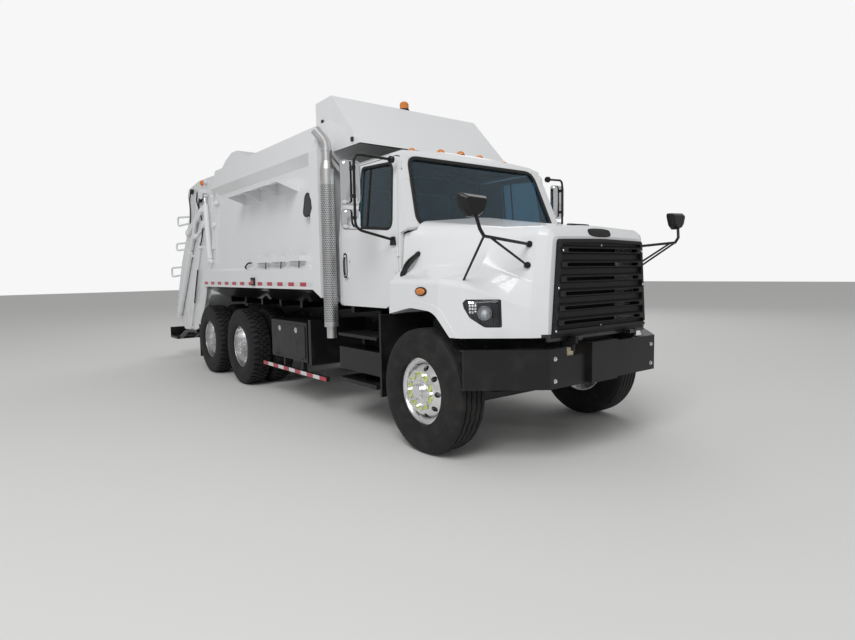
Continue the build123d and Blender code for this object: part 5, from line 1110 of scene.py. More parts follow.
# Rows of height and size.
FOOT_ROWS = ((-0.012, 1.0), (0.008, 1.0))
DOME_ROWS = ((0.008, 0.92), (0.024, 0.84), (0.040, 0.62), (0.048, 0.3), (0.049, 0.05))


def drop_ring(y, z, size):
    """Level ring shaped like a drop."""
    ring = []
    for turn in turns(DROP_STEPS):
        drawn = DROP_TAIL if math.cos(turn) < 0 else DROP_R
        ring.append(at(ROOF_LAMP_X + math.cos(turn) * drawn * size, y + math.sin(turn) * DROP_R * size, z))
    return ring


lamp_domes, lamp_feet = Shape(), Shape()
for y in ROOF_LAMP_Y:
    roof_z = touch("cab_shell", at(ROOF_LAMP_X, y, ABOVE_THE_ROOF), -Z)[0].z
    for shape, rows in ((lamp_feet, FOOT_ROWS), (lamp_domes, DOME_ROWS)):
        shape.rings([drop_ring(y, roof_z + height, size) for height, size in rows])
print("roof height at the last marker:", round(roof_z, 4))

# %% [markdown]
# ## Beacon
# A ribbed amber beacon stands on top of the shield. It is turned like a vase from one profile, and it
# belongs to the same piece as the markers, because the solid that it replaces holds all of them.

# %% Beacon, and the lamps as pieces
BEACON_FOOT = [(0.0, 0.060), (0.020, 0.0605), (0.026, 0.056), (0.034, 0.055)]
BEACON_TOP = [(0.102, 0.048), (0.114, 0.036), (0.1205, 0.015), (0.122, 0.0)]
BEACON_RIBS, BEACON_RIB_PITCH, BEACON_STEPS = 6, 0.011, 48
SHIELD_TOP = 3.4165
beacon = at(-1.800, 0, SHIELD_TOP)
ribbed = [(0.030, 0.052)]
for rib in range(BEACON_RIBS):
    ribbed += [(0.034 + rib * BEACON_RIB_PITCH, 0.054), (0.040 + rib * BEACON_RIB_PITCH, 0.0515)]
lamp_domes.turned(beacon, Z, ribbed + BEACON_TOP, BEACON_STEPS)
lamp_feet.turned(beacon, Z, BEACON_FOOT, BEACON_STEPS)
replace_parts(piece("roof_lenses", "chassis", "amber_lens", lamp_domes, crease=45), "lamps_amber")
piece("roof_lamp_feet", "chassis", "dark_plastic", lamp_feet)

# %% [markdown]
# ## Things laid on a skin
# Badges, vents, marker lamps and screws follow a curved panel. Each is a set of rings laid on the panel:
# every point is dropped along a line until it meets the CAD skin, and then lifted by the piece's own
# thickness. A flat piece would sink in at its middle or float at its edges.

# %% Pads, screws and bolts on a panel
PAD_START, PAD_REACH = 0.12, 0.16
HEAD_SUNK = 0.002


def axes_on(facing, upright=Z):
    """Directions along a panel: across it and up it."""
    across = upright.cross(facing).normalized()
    return across, facing.cross(across).normalized()


def oval(half_a, half_b, power=2.0, steps=40):
    """Rounded outline: an ellipse at power 2, and nearer to a rectangle above it."""
    rows = []
    for turn in turns(steps):
        cosine, sine = math.cos(turn), math.sin(turn)
        rows.append((
            half_a * math.copysign(abs(cosine) ** (2 / power), cosine),
            half_b * math.copysign(abs(sine) ** (2 / power), sine),
        ))
    return rows


def add_pad(shape, node, spot, facing, outline, rows, upright=Z):
    """Lays an outline on a node's skin. Each row is the outline's scale and its height above the skin."""
    across, upward = axes_on(facing, upright)
    rings = []
    for scale, height in rows:
        ring = []
        for point in ring_on(spot, across, upward, outline, scale):
            foot = skin(node).ray_cast(point + facing * PAD_START, -facing, PAD_REACH)[0]
            ring.append((point if foot is None else foot) + facing * height)
        rings.append(ring)
    shape.rings(rings)


def mirror_side(spot, facing):
    """The same place and direction on the truck's other side."""
    return Vector((spot.x, -spot.y, spot.z)), Vector((facing.x, -facing.y, facing.z))


def add_screw(shape, spot, facing, radius):
    """Adds a domed screw head on a washer."""
    head = [(0, radius * 1.5), (0.0035, radius * 1.5), (0.0036, radius), (0.006, radius * 0.8), (0.007, 0)]
    shape.turned(spot - facing * HEAD_SUNK, facing, head, 12)


def add_hexagon(shape, spot, facing, radius, height):
    """Adds a hexagonal bolt head on a round washer."""
    washer = [(0, radius * 1.35), (0.0045, radius * 1.35), (0.0046, 0)]
    head = [(0, radius), (height, radius), (height + 0.001, radius * 0.8), (height + 0.001, 0)]
    shape.turned(spot - facing * HEAD_SUNK, facing, washer, 16)
    shape.turned(spot + facing * HEAD_SUNK, facing, head, 6)


print("points in an oval:", len(oval(1, 1)))

# %% [markdown]
# ## Nose of the hood
# Above the grille is a dark oval plate, which stays blank, and behind it a flat black vent. Both are pads on
# the hood's skin. The plate has a raised rim, and the vent a sunk middle.

# %% Nose plate and vent
PLATE_ROWS = [(1.0, -0.002), (1.0, 0.004), (0.94, 0.007), (0.9, 0.0066), (0.1, 0.0075)]
VENT_ROWS = [(1.0, -0.002), (1.0, 0.005), (0.93, 0.011), (0.82, 0.011), (0.80, 0.006), (0.05, 0.006)]
PLATE_OUTLINE, PLATE_Z = oval(0.150, 0.040, 3.2), 1.843
VENT_OUTLINE, VENT_X = oval(0.125, 0.052, 3.0), 0.70
AHEAD_OF_THE_NOSE, ABOVE_THE_HOOD = 1.4, 2.4
plate, vent = Shape(), Shape()
spot, facing = touch("hood", at(AHEAD_OF_THE_NOSE, 0, PLATE_Z), -X)
add_pad(plate, "hood", spot, facing, PLATE_OUTLINE, PLATE_ROWS)
piece("nose_plate", "hood", "dark_plastic", plate, crease=40)
spot, facing = touch("hood", at(VENT_X, 0, ABOVE_THE_HOOD), -Z)
add_pad(vent, "hood", spot, facing, VENT_OUTLINE, VENT_ROWS, upright=X)
piece("hood_vent", "hood", "dark_plastic", vent, crease=40)

# %% [markdown]
# ## Grille screws
# Small bright screws hold the grille's frame. Their sides and heights follow the slanted frame, and each is
# pushed back until it meets the frame, since the nose isn't quite upright.

# %% Screws of the grille
GRILLE_SCREWS = [(0, 1.735), (0, 1.075)]
for half, height in ((0.545, 1.690), (0.585, 1.400), (0.617, 1.068)):
    GRILLE_SCREWS += [(-half, height), (half, height)]
SCREW_ROW, SCREW_R = 0.985, 0.0065

screws = Shape()
for y, z in GRILLE_SCREWS:
    spot, _ = touch("grille", at(AHEAD_OF_THE_NOSE, y * SCREW_ROW, z), -X)
    add_screw(screws, spot, X, SCREW_R)
piece("grille_screws", "hood", "chrome", screws)

# %% [markdown]
# ## Fender markers
# An amber marker sits in a black ring on each fender. Its place was read from the photograph on the right
# fender, and is mirrored to the left one.

# %% Fender markers in their rings
MARKER_PIXEL = (421.0, 291.5)
RING_ROWS = [(1.0, -0.002), (1.0, 0.006), (0.9, 0.010), (0.78, 0.010), (0.76, 0.003)]
MARKER_ROWS = [(1.0, 0.002), (0.98, 0.012), (0.8, 0.019), (0.5, 0.023), (0.1, 0.0245)]
RING_OUTLINE, MARKER_OUTLINE = oval(0.078, 0.038), oval(0.062, 0.029)
markers, marker_rings = Shape(), Shape()
right_marker = seen("hood", *MARKER_PIXEL)
for spot, facing in (right_marker, mirror_side(*right_marker)):
    add_pad(marker_rings, "hood", spot, facing, RING_OUTLINE, RING_ROWS)
    add_pad(markers, "hood", spot, facing, MARKER_OUTLINE, MARKER_ROWS)
piece("fender_marker_rings", "hood", "sheet_rubber", marker_rings, crease=50)
piece("fender_markers", "hood", "amber_lens", markers, crease=50)

# %% [markdown]
# ## Hood straps
# A rubber strap on each side pulls the hood down on a hook of the cab. It is a flat bar with a ribbed middle,
# a button at each end and a wire handle below. It lies along the panel between two places read from
# the photograph, and moves with the hood.

# %% Rubber hood straps
STRAP_TOP, STRAP_FOOT = (418.6, 254.0), (402.8, 275.0)
BUTTON = [(0, 0.024), (0.012, 0.024), (0.018, 0.017), (0.024, 0.017), (0.026, 0.0)]
RIB_SHARES, RIB_SIZE = (0.3, 0.42, 0.54, 0.66), (0.006, 0.030, 0.006)
STRAP_R, CORD_R, WIRE_R, WIRE_UP = 0.023, 0.010, 0.0045, 0.06
# Corners of the wire handle: how far across the strap and how far down it.
WIRE_CORNERS = ((0.022, 0), (0.03, 0.055), (-0.03, 0.055), (-0.022, 0))
top, foot = seen("hood", *STRAP_TOP), seen("hood", *STRAP_FOOT)

for name, side in SIDES.items():
    (high, out), (low, _) = (top, foot) if side == RIGHT else (mirror_side(*top), mirror_side(*foot))
    run = (low - high).normalized()
    across = run.cross(out).normalized()
    strap, wire = Shape(), Shape()
    bow = [high + out * 0.014, (high + low) / 2 + out * 0.020, low + out * 0.012]
    strap.tube(eased(bow, 0.08), STRAP_R, sides=12, flat=(out, 0.5))
    slack = [high + out * 0.022, (high + low) / 2 + out * 0.040 + across * 0.030, low + out * 0.018]
    strap.tube(eased(slack, 0.12), CORD_R)
    for end in (high, low):
        strap.turned(end - out * 0.004, out, BUTTON, 20)
    for share in RIB_SHARES:
        strap.block(high.lerp(low, share) + out * 0.0235, RIB_SIZE, run, across)
    handle = [low + across * a + run * (b - WIRE_UP) + out * 0.012 for a, b in WIRE_CORNERS]
    wire.tube(eased(handle, 0.018), WIRE_R, sides=8)
    piece(f"hood_strap_{name}", "hood", "sheet_rubber", strap, crease=50)
    piece(f"strap_wire_{name}", "hood", "dark_plastic", wire, crease=60)

# %% [markdown]
# ## Headlamp cover
# A clear cover closes each headlamp, flush with the slanted wall at its edge and bulging a little in the
# middle. Places are measured along the lamp's own wall, so one function turns distance along the wall,
# height and depth into a point. The cover is a thin shell: rings go out over its front and back inside.

# %% Clear covers
LAMP_START, LAMP_END = (0.480, 1.150), (0.850, 0.757)
LAMP_OUTLINE = [
    (0.013, 1.297), (0.036, 1.321), (0.306, 1.319), (0.312, 1.105), (0.180, 1.106), (0.065, 1.182),
    (0.021, 1.258),
]
LAMP_CUTS = [0.006, 0.01, 0.012, 0.012, 0.04, 0.04, 0.014]
LAMP_MIDDLE = Vector((0.18, 1.222, 0))
# Rows of the outline's scale and how far it stands out of the wall.
COVER_ROWS = (
    (0.985, -0.006), (0.985, -0.001), (0.95, 0.003), (0.7, 0.009), (0.35, 0.0125), (0.05, 0.0135),
    (0.05, 0.0115), (0.35, 0.0105), (0.7, 0.007), (0.94, 0.001), (0.97, -0.006),
)
lamp_run = Vector((LAMP_END[0] - LAMP_START[0], LAMP_END[1] - LAMP_START[1], 0)).normalized()
lamp_out = Vector((-lamp_run.y, lamp_run.x, 0))


def in_lamp(side, along_wall, z, out):
    """Point at a distance along the lamp's wall, a height, and a distance out of the wall."""
    flat = Vector((LAMP_START[0], LAMP_START[1], 0)) + lamp_run * along_wall + lamp_out * out
    return at(flat.x, side * flat.y, z)


for name, side in SIDES.items():
    rim = eased([Vector((a, z, 0)) for a, z in LAMP_OUTLINE], LAMP_CUTS, loop=True)
    rings = []
    for scale, lift in COVER_ROWS:
        scaled = [LAMP_MIDDLE + (point - LAMP_MIDDLE) * scale for point in rim]
        rings.append([in_lamp(side, point.x, point.y, lift) for point in scaled])
    cover = Shape()
    cover.rings(rings, wrap=True)
    piece(f"headlamp_lens_{name}", "hood", "clear_glass", cover, crease=60)

# %% [markdown]
# ## Headlamp optics
# Behind the cover are a bright projector bowl with a glass bulb in front, a faceted reflector towards the
# side, and a thin frame inboard. Each facet is a small block that is tipped its own way, so the
# reflector sparkles. A smooth mirror would show one dull patch.

# %% Projectors, reflectors and frames
BOWL = [
    (0.012, 0.020), (0.020, 0.036), (0.032, 0.046), (0.044, 0.0485), (0.0485, 0.0505), (0.0485, 0.0540),
    (0.044, 0.0560), (0.010, 0.044), (0.006, 0.020),
]
BULB = [(0, 0.025), (0.014, 0.0255), (0.024, 0.021), (0.030, 0.012), (0.032, 0.0)]
FACET_ROWS, FACET_COLUMNS, FACET_SIZE = 4, 3, (0.015, 0.019, 0.004)
FACET_START, FACET_PITCH = (0.066, 1.222), (0.022, 0.026)
FACET_DEPTH, FACET_STEP = 0.010, 0.001
FRAME_CORNERS, FRAME_DEPTH = ((0.245, 1.125), (0.293, 1.125), (0.290, 1.298), (0.245, 1.298)), 0.012
BOWL_PLACE, BOWL_DEPTH = (0.180, 1.216), 0.050

for name, side in SIDES.items():
    bowl, bulb, facets, trim = Shape(), Shape(), Shape(), Shape()
    out = (in_lamp(side, *BOWL_PLACE, 0.1) - in_lamp(side, *BOWL_PLACE, 0.0)).normalized()
    centre = in_lamp(side, *BOWL_PLACE, -BOWL_DEPTH)
    bowl.turned(centre, out, BOWL, 40, wrap=True)
    bulb.turned(centre + out * 0.010, out, BULB, 32)
    for row in range(FACET_ROWS):
        for column in range(FACET_COLUMNS):
            along_wall, z = FACET_START[0] + column * FACET_PITCH[0], FACET_START[1] + row * FACET_PITCH[1]
            spot = in_lamp(side, along_wall, z, -FACET_DEPTH - column * FACET_STEP)
            tipped = out + lamp_run * (0.35 - 0.3 * column) + Z * (0.45 * (row - 1.5) / 1.5)
            tipped.normalize()
            tipped.y = side * abs(tipped.y)
            across = Z.cross(tipped).normalized()
            facets.block(spot, FACET_SIZE, across, tipped.cross(across))
    frame_line = [in_lamp(side, along_wall, z, -FRAME_DEPTH) for along_wall, z in FRAME_CORNERS]
    trim.tube(eased(frame_line, 0.012, loop=True), 0.004, loop=True, sides=8)
    piece(f"headlamp_bowl_{name}", "hood", "chrome", bowl, crease=50)
    piece(f"headlamp_bulb_{name}", "hood", "clear_lens", bulb, crease=60)
    piece(f"headlamp_reflector_{name}", "hood", "chrome", facets, edge=0.001)
    piece(f"headlamp_trim_{name}", "hood", "dark_plastic", trim, crease=60)

# %% [markdown]
# ## Nut pointers
# Yellow-green pointers sit on the nuts of the front wheels and show if one turns. Each is a ring with a
# point, turned towards its neighbour, and all of them ride on the wheel.

# %% Pointers on the wheel nuts
STUDS, STUD_CIRCLE, NUT_TIP = 10, 0.143, 1.196
POINTER_RING = [(0.004, 0.0255), (0.010, 0.0255), (0.010, 0.0195), (0.004, 0.0195)]
# Corners of the point: how far round the wheel, and how far out from its middle.
POINTER_TAIL = ((0.024, 0.012), (0.046, -0.003), (0.024, -0.014))
hub = Vector((FRONT_X, 0, AXLE_Z))


def wheel_axes(turn):
    """At an angle round a wheel, the direction out from its middle and the one round it."""
    return Vector((math.sin(turn), 0, math.cos(turn))), Vector((math.cos(turn), 0, -math.sin(turn)))


for name, side in SIDES.items():
    pointers = Shape()
    for turn in turns(STUDS):
        arm, sweep = wheel_axes(turn)
        nut = hub + arm * STUD_CIRCLE + Y * (side * NUT_TIP)
        pointers.turned(nut, Y * side, POINTER_RING, 20, wrap=True)
        tail = ring_on(nut + Y * (side * 0.005), sweep, arm, POINTER_TAIL)
        pointers.plate(tail, Y * (side * 0.004))
    piece(f"nut_pointers_{name}", f"front_wheel_{name}", "pointer_plastic", pointers)

# %% [markdown]
# ## Bearing caps
# In the middle of each front wheel is the bearing cap, with dark windows that show the oil, round a red
# rubber plug. The windows are thin plates on the cap's face.

# %% Cap windows and plugs
CAP_WINDOWS, CAP_FACE = 5, 1.2415
CAP_WINDOW = ((-0.010, 0.028), (-0.020, 0.056), (0.020, 0.056), (0.010, 0.028))
CAP_PLUG = [(1.2400, 0.0215), (1.2430, 0.0205), (1.2435, 0.013), (1.2428, 0.0)]

for name, side in SIDES.items():
    cap, plug = Shape(), Shape()
    for count in range(CAP_WINDOWS):
        arm, sweep = wheel_axes(2 * math.pi * (count + 0.3) / CAP_WINDOWS)
        outline = ring_on(hub + Y * (side * CAP_FACE), sweep, arm, CAP_WINDOW)
        cap.plate(outline, Y * (side * 0.0022))
    plug.turned(hub, Y * side, CAP_PLUG, 24)
    piece(f"cap_windows_{name}", f"front_wheel_{name}", "dark_plastic", cap)
    piece(f"cap_plug_{name}", f"front_wheel_{name}", "red_lens", plug)

# %% [markdown]
# ## Cab lining
# Inside, the cab is lined in dark trim, or its white steel would light up the windows. The dark of the boards
# is also painted shade, for the dim inside of the cab seen through the glass. The lining is a set of thin
# boards just inside the floor, the rear wall and the roof. The roof boards are arched like the roof above
# them.

# %% Floor, rear wall and roof boards
FLOOR_Z, REAR_WALL_X = 1.249, -1.507
CAB_FLOOR = rectangle(-1.505, -0.495, -1.01, 1.01)
# Boards of the rear wall: left out of them is its window.
REAR_BOARDS = (
    rectangle(-0.99, 0.99, 1.26, 1.94), rectangle(-0.93, 0.93, 2.44, 2.62),
    rectangle(-0.98, -0.44, 1.95, 2.43), rectangle(0.44, 0.98, 1.95, 2.43),
)
ROOF_BOARDS = ((-1.50, -1.18), (-1.17, -0.86), (-0.85, -0.70))
ROOF_HALF, ROOF_TOP, ROOF_DROP, ROOF_BOARD = 0.86, 2.712, 0.075, 0.004
ROOF_SHARES = (-1, -0.5, 0, 0.5, 1)


def add_board(shape, corners, thickness):
    """Adds a lining board with a shallow pillowed face."""
    centre = sum(corners, Vector()) / len(corners)
    inner = [centre + (point - centre) * 0.94 for point in corners]
    shape.rings([corners, [p + thickness for p in corners], [p + thickness * 1.6 for p in inner]])


def roof_section(station):
    """Cross section of a roof board: over its arched top, then back along its underside."""
    top, underside = [], []
    for share in ROOF_SHARES:
        height = ROOF_TOP - ROOF_DROP * share * share
        top.append(at(station, ROOF_HALF * share, height))
        underside.append(at(station, ROOF_HALF * share, height - ROOF_BOARD))
    return top + underside[::-1]


lining = Shape()
add_board(lining, [at(x, y, FLOOR_Z) for x, y in CAB_FLOOR], Z * 0.006)
for corners in REAR_BOARDS:
    add_board(lining, facing_ahead(REAR_WALL_X, corners), X * 0.008)
for rear, front in ROOF_BOARDS:
    lining.rings([roof_section(rear), roof_section(front)])
piece("cab_lining", "chassis", "dark_plastic", lining, edge=0.002)

# %% [markdown]
# ## Door boards
# Each door has a lining board of its own with an armrest, which swings with it. Its dark is also painted
# shade, for the dim inside of the cab.

# %% Door lining and armrest
DOOR_BOARD = [(-1.47, 1.26), (-0.72, 1.26), (-0.53, 1.34), (-0.53, 1.90), (-0.62, 1.925), (-1.47, 1.965)]
ARMREST, ARMREST_R = [(-1.30, 1.70), (-0.80, 1.70)], 0.028

for name, side in SIDES.items():
    board = Shape()
    add_board(board, beside(side * 1.0135, DOOR_BOARD), Y * (side * -0.008))
    rear, front = beside(side * 0.985, ARMREST)
    bowed = [rear, rear.lerp(front, 0.5) + Y * (side * -0.03), front]
    board.tube(bowed, ARMREST_R, sides=12, flat=(Y, 0.8))
    piece(f"door_lining_{name}", f"door_{name}", "dark_plastic", board, edge=0.002)

# %% [markdown]
# ## Door handles
# Outside, each door has a tall black handle in a shallow dish, and a bright lock beside it. The dish is an
# oval close to a rectangle, and the lever a flattened bar that stands over it.

# %% Handles and locks
DISH_ROWS = ((1.0, -0.004), (1.0, 0.0), (0.93, 0.0035), (0.86, 0.0035), (0.84, -0.001), (0.1, -0.001))
# The lever's corners: how high on the dish, and how far out of it.
LEVER = ((0.085, 0.002), (0.06, 0.016), (-0.07, 0.016), (-0.095, 0.002))
LOCK = [(0, 0.014), (0.004, 0.014), (0.0055, 0.011), (0.0055, 0)]
# Station, side and height of the dish and of the lock.
DISH_PLACE, LOCK_PLACE = (-1.400, 1.0825, 1.62), (-1.345, 1.0585, 1.66)

for name, side in SIDES.items():
    handle, lock = Shape(), Shape()
    facing = Y * side
    spot, lock_spot = (at(station, side * y, z) for station, y, z in (DISH_PLACE, LOCK_PLACE))
    across, upward = axes_on(facing)
    outline = oval(0.036, 0.128, 5.0)
    rings = []
    for size, height in DISH_ROWS:
        rings.append(ring_on(spot + facing * height, across, upward, outline, size))
    handle.rings(rings)
    lever = [spot + upward * rise + facing * lift for rise, lift in LEVER]
    handle.tube(eased(lever, 0.02), 0.013, sides=10, flat=(facing, 0.55))
    lock.turned(lock_spot, facing, LOCK, 20)
    piece(f"door_handle_{name}", f"door_{name}", "dark_plastic", handle, crease=45)
    piece(f"door_lock_{name}", f"door_{name}", "chrome", lock)

# %% [markdown]
# ## Wipers
# Two wipers rest along the foot of the windshield. Each has a pivot in the cowl, a sprung arm and a blade,
# and all three lie on the glass plane.

# %% Windshield wipers
WIPER_PIVOTS, WIPER_REACH = (-0.52, 0.24), 0.40
PIVOT = [(0, 0.017), (0.030, 0.016), (0.036, 0.010), (0.037, 0)]

wipers = Shape()
for pivot_y in WIPER_PIVOTS:
    pivot = on_screen(pivot_y, 0.030, 0.020)
    wipers.turned(pivot - screen_out * 0.030, screen_out, PIVOT, 16)
    elbow = on_screen(pivot_y + WIPER_REACH * 0.55, 0.072, 0.024)
    tip = on_screen(pivot_y + WIPER_REACH, 0.105, 0.012)
    wipers.tube(eased([pivot, elbow, tip], 0.05), 0.0065, sides=8)
    blade_start = on_screen(pivot_y + WIPER_REACH - 0.34, 0.083, 0.008)
    blade_end = on_screen(pivot_y + WIPER_REACH + 0.28, 0.122, 0.008)
    wipers.tube([blade_start, blade_end], 0.009, sides=8, flat=(screen_up, 0.6))
piece("wipers", "chassis", "dark_plastic", wipers, crease=50)

# %% [markdown]
# ## Seat cushions
# A pad is crowned, its sides pull in between the corners, and seams mark its channels. It could be a cloth
# simulation on a block, but rings of a rounded outline with grooves pressed into the crown give the same
# shape each time and far sooner.

# %% Crowned pads
PAD_POWER, PAD_STEPS, PAD_SHRINK = 5.0, 56, 0.84
SIDE_LEVELS = 6
TOP_SCALES = (0.86, 0.7, 0.5, 0.3, 0.12)
SEAM_DEPTH, SEAM_WIDTH = 0.010, 0.07


def seam_depth(share, channels):
    """How deep the seams between a pad's channels press it in, at a share of its length from 0 to 1."""
    phase = share * channels
    inside = 0 < round(phase) < channels
    return SEAM_DEPTH * math.exp(-(((phase - round(phase)) / SEAM_WIDTH) ** 2)) * inside


def add_cushion(shape, centre, size, swell, channels, along_x=X, along_y=Y):
    """Adds a crowned pad: width, depth and thickness, with sewn channels across its face."""
    along_z = along_x.cross(along_y)
    half_x, half_y, half_z = (part / 2 for part in size)
    rings = []
    for level in range(-SIDE_LEVELS, SIDE_LEVELS + 1):
        height = math.sin(level / SIDE_LEVELS * math.pi / 2)
        shrink = math.sqrt(max(0.0, 1 - abs(height) ** 5)) * (1 - PAD_SHRINK) + PAD_SHRINK
        outline = oval(half_x, half_y, PAD_POWER, PAD_STEPS)
        rings.append(ring_on(centre + along_z * (height * half_z), along_x, along_y, outline, shrink))
    for scale in TOP_SCALES:
        ring = []
        power = PAD_POWER - 2.4 * (1 - scale)
        for a, b in oval(half_x * PAD_SHRINK * scale, half_y * PAD_SHRINK * scale, power, PAD_STEPS):
            rise = half_z + swell * (1 - scale * scale) - seam_depth(b / size[1] + 0.5, channels)
            ring.append(centre + along_x * a + along_y * b + along_z * rise)
        rings.append(ring)
    shape.rings(rings)


print("seam in the middle of four channels:", seam_depth(0.5, 4))

# %% [markdown]
# ## Seats
# Each seat is a sprung cushion and a tall back on a stand, and the stand takes the place of the plain seats.

# %% Driver's and passenger's seats
SEAT_Y, SEAT_FILL = 0.54, 0.8
back_lean = Vector((-0.1, 0, 1)).normalized()

for name, side in SIDES.items():
    pad, back, base = Shape(), Shape(), Shape()
    seat_y = side * SEAT_Y
    add_cushion(pad, at(-1.165, seat_y, 1.628), (0.455, 0.465, 0.105), 0.016, 4)
    add_cushion(back, at(-1.328, seat_y, 2.010), (0.43, 0.60, 0.085), 0.014, 5, Y, back_lean)
    base.block(at(-1.135, seat_y, 1.41), (0.30, 0.26, 0.31))
    base.block(at(-1.14, seat_y, 1.570), (0.42, 0.40, 0.020))
    piece(f"seat_pad_{name}", "chassis", "seat_cloth", pad, crease=70)
    piece(f"seat_back_{name}", "chassis", "seat_cloth", back, crease=70)
    stand = piece(f"seat_stand_{name}", "chassis", "dark_plastic", base, edge=0.006)
    if side == RIGHT:
        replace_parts(stand, "seats")

# %% [markdown]
# ## Windshield pillars
# The door opening runs past the windshield's upper corners. A narrow cover plate on each pillar closes the
# gap between the glass seal and the door. It lies on the glass plane, just behind the seal.

# %% Pillar covers
PILLAR_COVER = ((0.872, 0.500), (0.957, 0.500), (0.944, 0.745), (0.850, 0.745))

covers = Shape()
for side in SIDES.values():
    covers.plate([on_screen(side * y, up, -0.002) for y, up in PILLAR_COVER], screen_out * 0.004)
piece("pillar_covers", "chassis", "white_paint", covers)

# %% [markdown]
# ## Inspection windows
# A dark window sits high at the front of each body wall. Its pane is an opaque dark plate, painted shade for
# the dim inside of the body behind it. The raised border of the wall would hide a flush pane from the front,
# so its housing stands well proud of the wall, and a rubber lip holds the pane on it.

# %% Inspection windows
WALL_Y = 1.150
WINDOW_EDGE = [
    (-2.075, 2.200), (-2.020, 2.165), (-1.910, 2.175), (-1.865, 2.240), (-1.880, 2.330), (-1.940, 2.420),
    (-2.015, 2.400),
]
WINDOW_PROUD, WINDOW_SUNK = 0.055, 0.002

for name, side in SIDES.items():
    pane, seal = Shape(), Shape()
    edge = eased(beside(side * WALL_Y, WINDOW_EDGE), 0.04, loop=True)
    back_edge = [point - Y * (side * WINDOW_SUNK) for point in edge]
    front_edge = [point + Y * (side * WINDOW_PROUD) for point in edge]
    seal.plate(back_edge, Y * (side * (WINDOW_PROUD + WINDOW_SUNK)))
    seal.tube(front_edge, 0.009, loop=True, flat=(Y, 0.6))
    pane.plate(front_edge, Y * (side * 0.003))
    piece(f"inspection_pane_{name}", "chassis", "lamp_plastic", pane)
    piece(f"inspection_seal_{name}", "chassis", "sheet_rubber", seal, crease=60)

# %% [markdown]
# ## Side markers
# A red marker lamp in a black bracket interrupts the sill tape on each side.

# %% Side markers
SIDE_MARKER_X = -3.560

for name, side in SIDES.items():
    bracket, lamp = Shape(), Shape()
    bracket.block(at(SIDE_MARKER_X, side * 1.2295, 1.452), (0.120, 0.018, 0.104))
    bracket.block(at(SIDE_MARKER_X, side * 1.2345, 1.496), (0.120, 0.028, 0.010))
    lamp.block(at(SIDE_MARKER_X, side * 1.2400, 1.444), (0.084, 0.006, 0.050))
    piece(f"side_marker_{name}", "chassis", "dark_plastic", bracket, edge=0.003)
    piece(f"side_marker_lens_{name}", "chassis", "red_lens", lamp, edge=0.002)

# %% [markdown]
# ## Rods and latches
# Thin bent rods hang from the tool cups on the right wall, with a grab handle behind them. Small black
# latches sit on the shield's side panels. They are dark on white, so they show although they are small.

# %% Cup rods, body handle and latches
CUP_FRONTS = (-3.090, -2.630, -2.140)
# The rod's corners: how far ahead of the cup's middle, side and height.
ROD_CORNERS = ((0, -1.195, 1.700), (0, -1.200, 1.610), (-0.05, -1.200, 1.560), (-0.13, -1.190, 1.530))
HANDLE_CORNERS = (
    (-3.78, -1.152, 1.700), (-3.80, -1.190, 1.700), (-3.92, -1.195, 1.640), (-3.94, -1.152, 1.630),
)
# Station, height and size of each latch.
LATCHES = ((-1.290, 2.885, 0.022), (-1.900, 3.180, 0.020))

rods, handles = Shape(), Shape()
for front in CUP_FRONTS:
    path = [at(front - 0.10 + ahead, y, z) for ahead, y, z in ROD_CORNERS]
    rods.tube(eased(path, 0.05), 0.0065, sides=8)
handles.tube(eased([at(*corner) for corner in HANDLE_CORNERS], 0.03), 0.011, sides=8)
for station, z, size in LATCHES:
    for side in SIDES.values():
        spot, facing = touch("cab_shield", at(station, side * 1.6, z), Y * -side)
        handles.block(spot + facing * 0.008, (size * 1.7, 0.020, size * 2))
piece("cup_rods", "chassis", "cast_iron", rods, crease=60)
piece("body_handle", "chassis", "dark_plastic", handles, edge=0.003)

# %% [markdown]
# ## Tailgate arms
# The tailgate's sides are crowded: box arms with bosses and links, and a thin rod beside the big cylinder.
# They are laid out by station and height on the side plate, stand on it, and are mirrored.

# %% Arms, bosses and rods
PLATE_Y = 1.1505
# Each arm: its two ends, width and thickness.
ARMS = (
    ((-5.640, 2.600), (-6.560, 2.252), 0.105, 0.050),
    ((-5.640, 2.345), (-6.090, 2.197), 0.060, 0.026),
    ((-5.560, 1.640), (-5.860, 1.080), 0.070, 0.018),
)
# Station, height and radius of each boss.
BOSSES = ((-5.629, 2.349, 0.062), (-6.116, 2.188, 0.048), (-5.700, 2.578, 0.040), (-6.520, 2.268, 0.044))
BOSS_LENGTH = 0.062
ROD_ENDS, ROD_R, ROD_LIFT = ((-5.892, 2.003), (-6.604, 0.646)), 0.020, 0.030


def on_plate(side, station, z, lift=0.0):
    """Point on the tailgate's side plate, or so far out of it."""
    return at(station, side * (PLATE_Y + lift), z)


def add_bar(shape, start, end, width, thickness, out):
    """Adds a flat bar between two points, standing on the plate behind them."""
    run = (end - start).normalized()
    shape.block((start + end) / 2 + out * (thickness / 2), ((end - start).length, thickness, width), run, out)


def add_boss(shape, centre, out, radius, length):
    """Adds a turned boss with a chamfered rim and a sunk middle."""
    rim = [(0, radius), (length - 0.004, radius), (length, radius - 0.004)]
    middle_rows = [(length, radius * 0.45), (length - 0.006, radius * 0.4), (length - 0.006, 0)]
    shape.turned(centre, out, rim + middle_rows, 28)


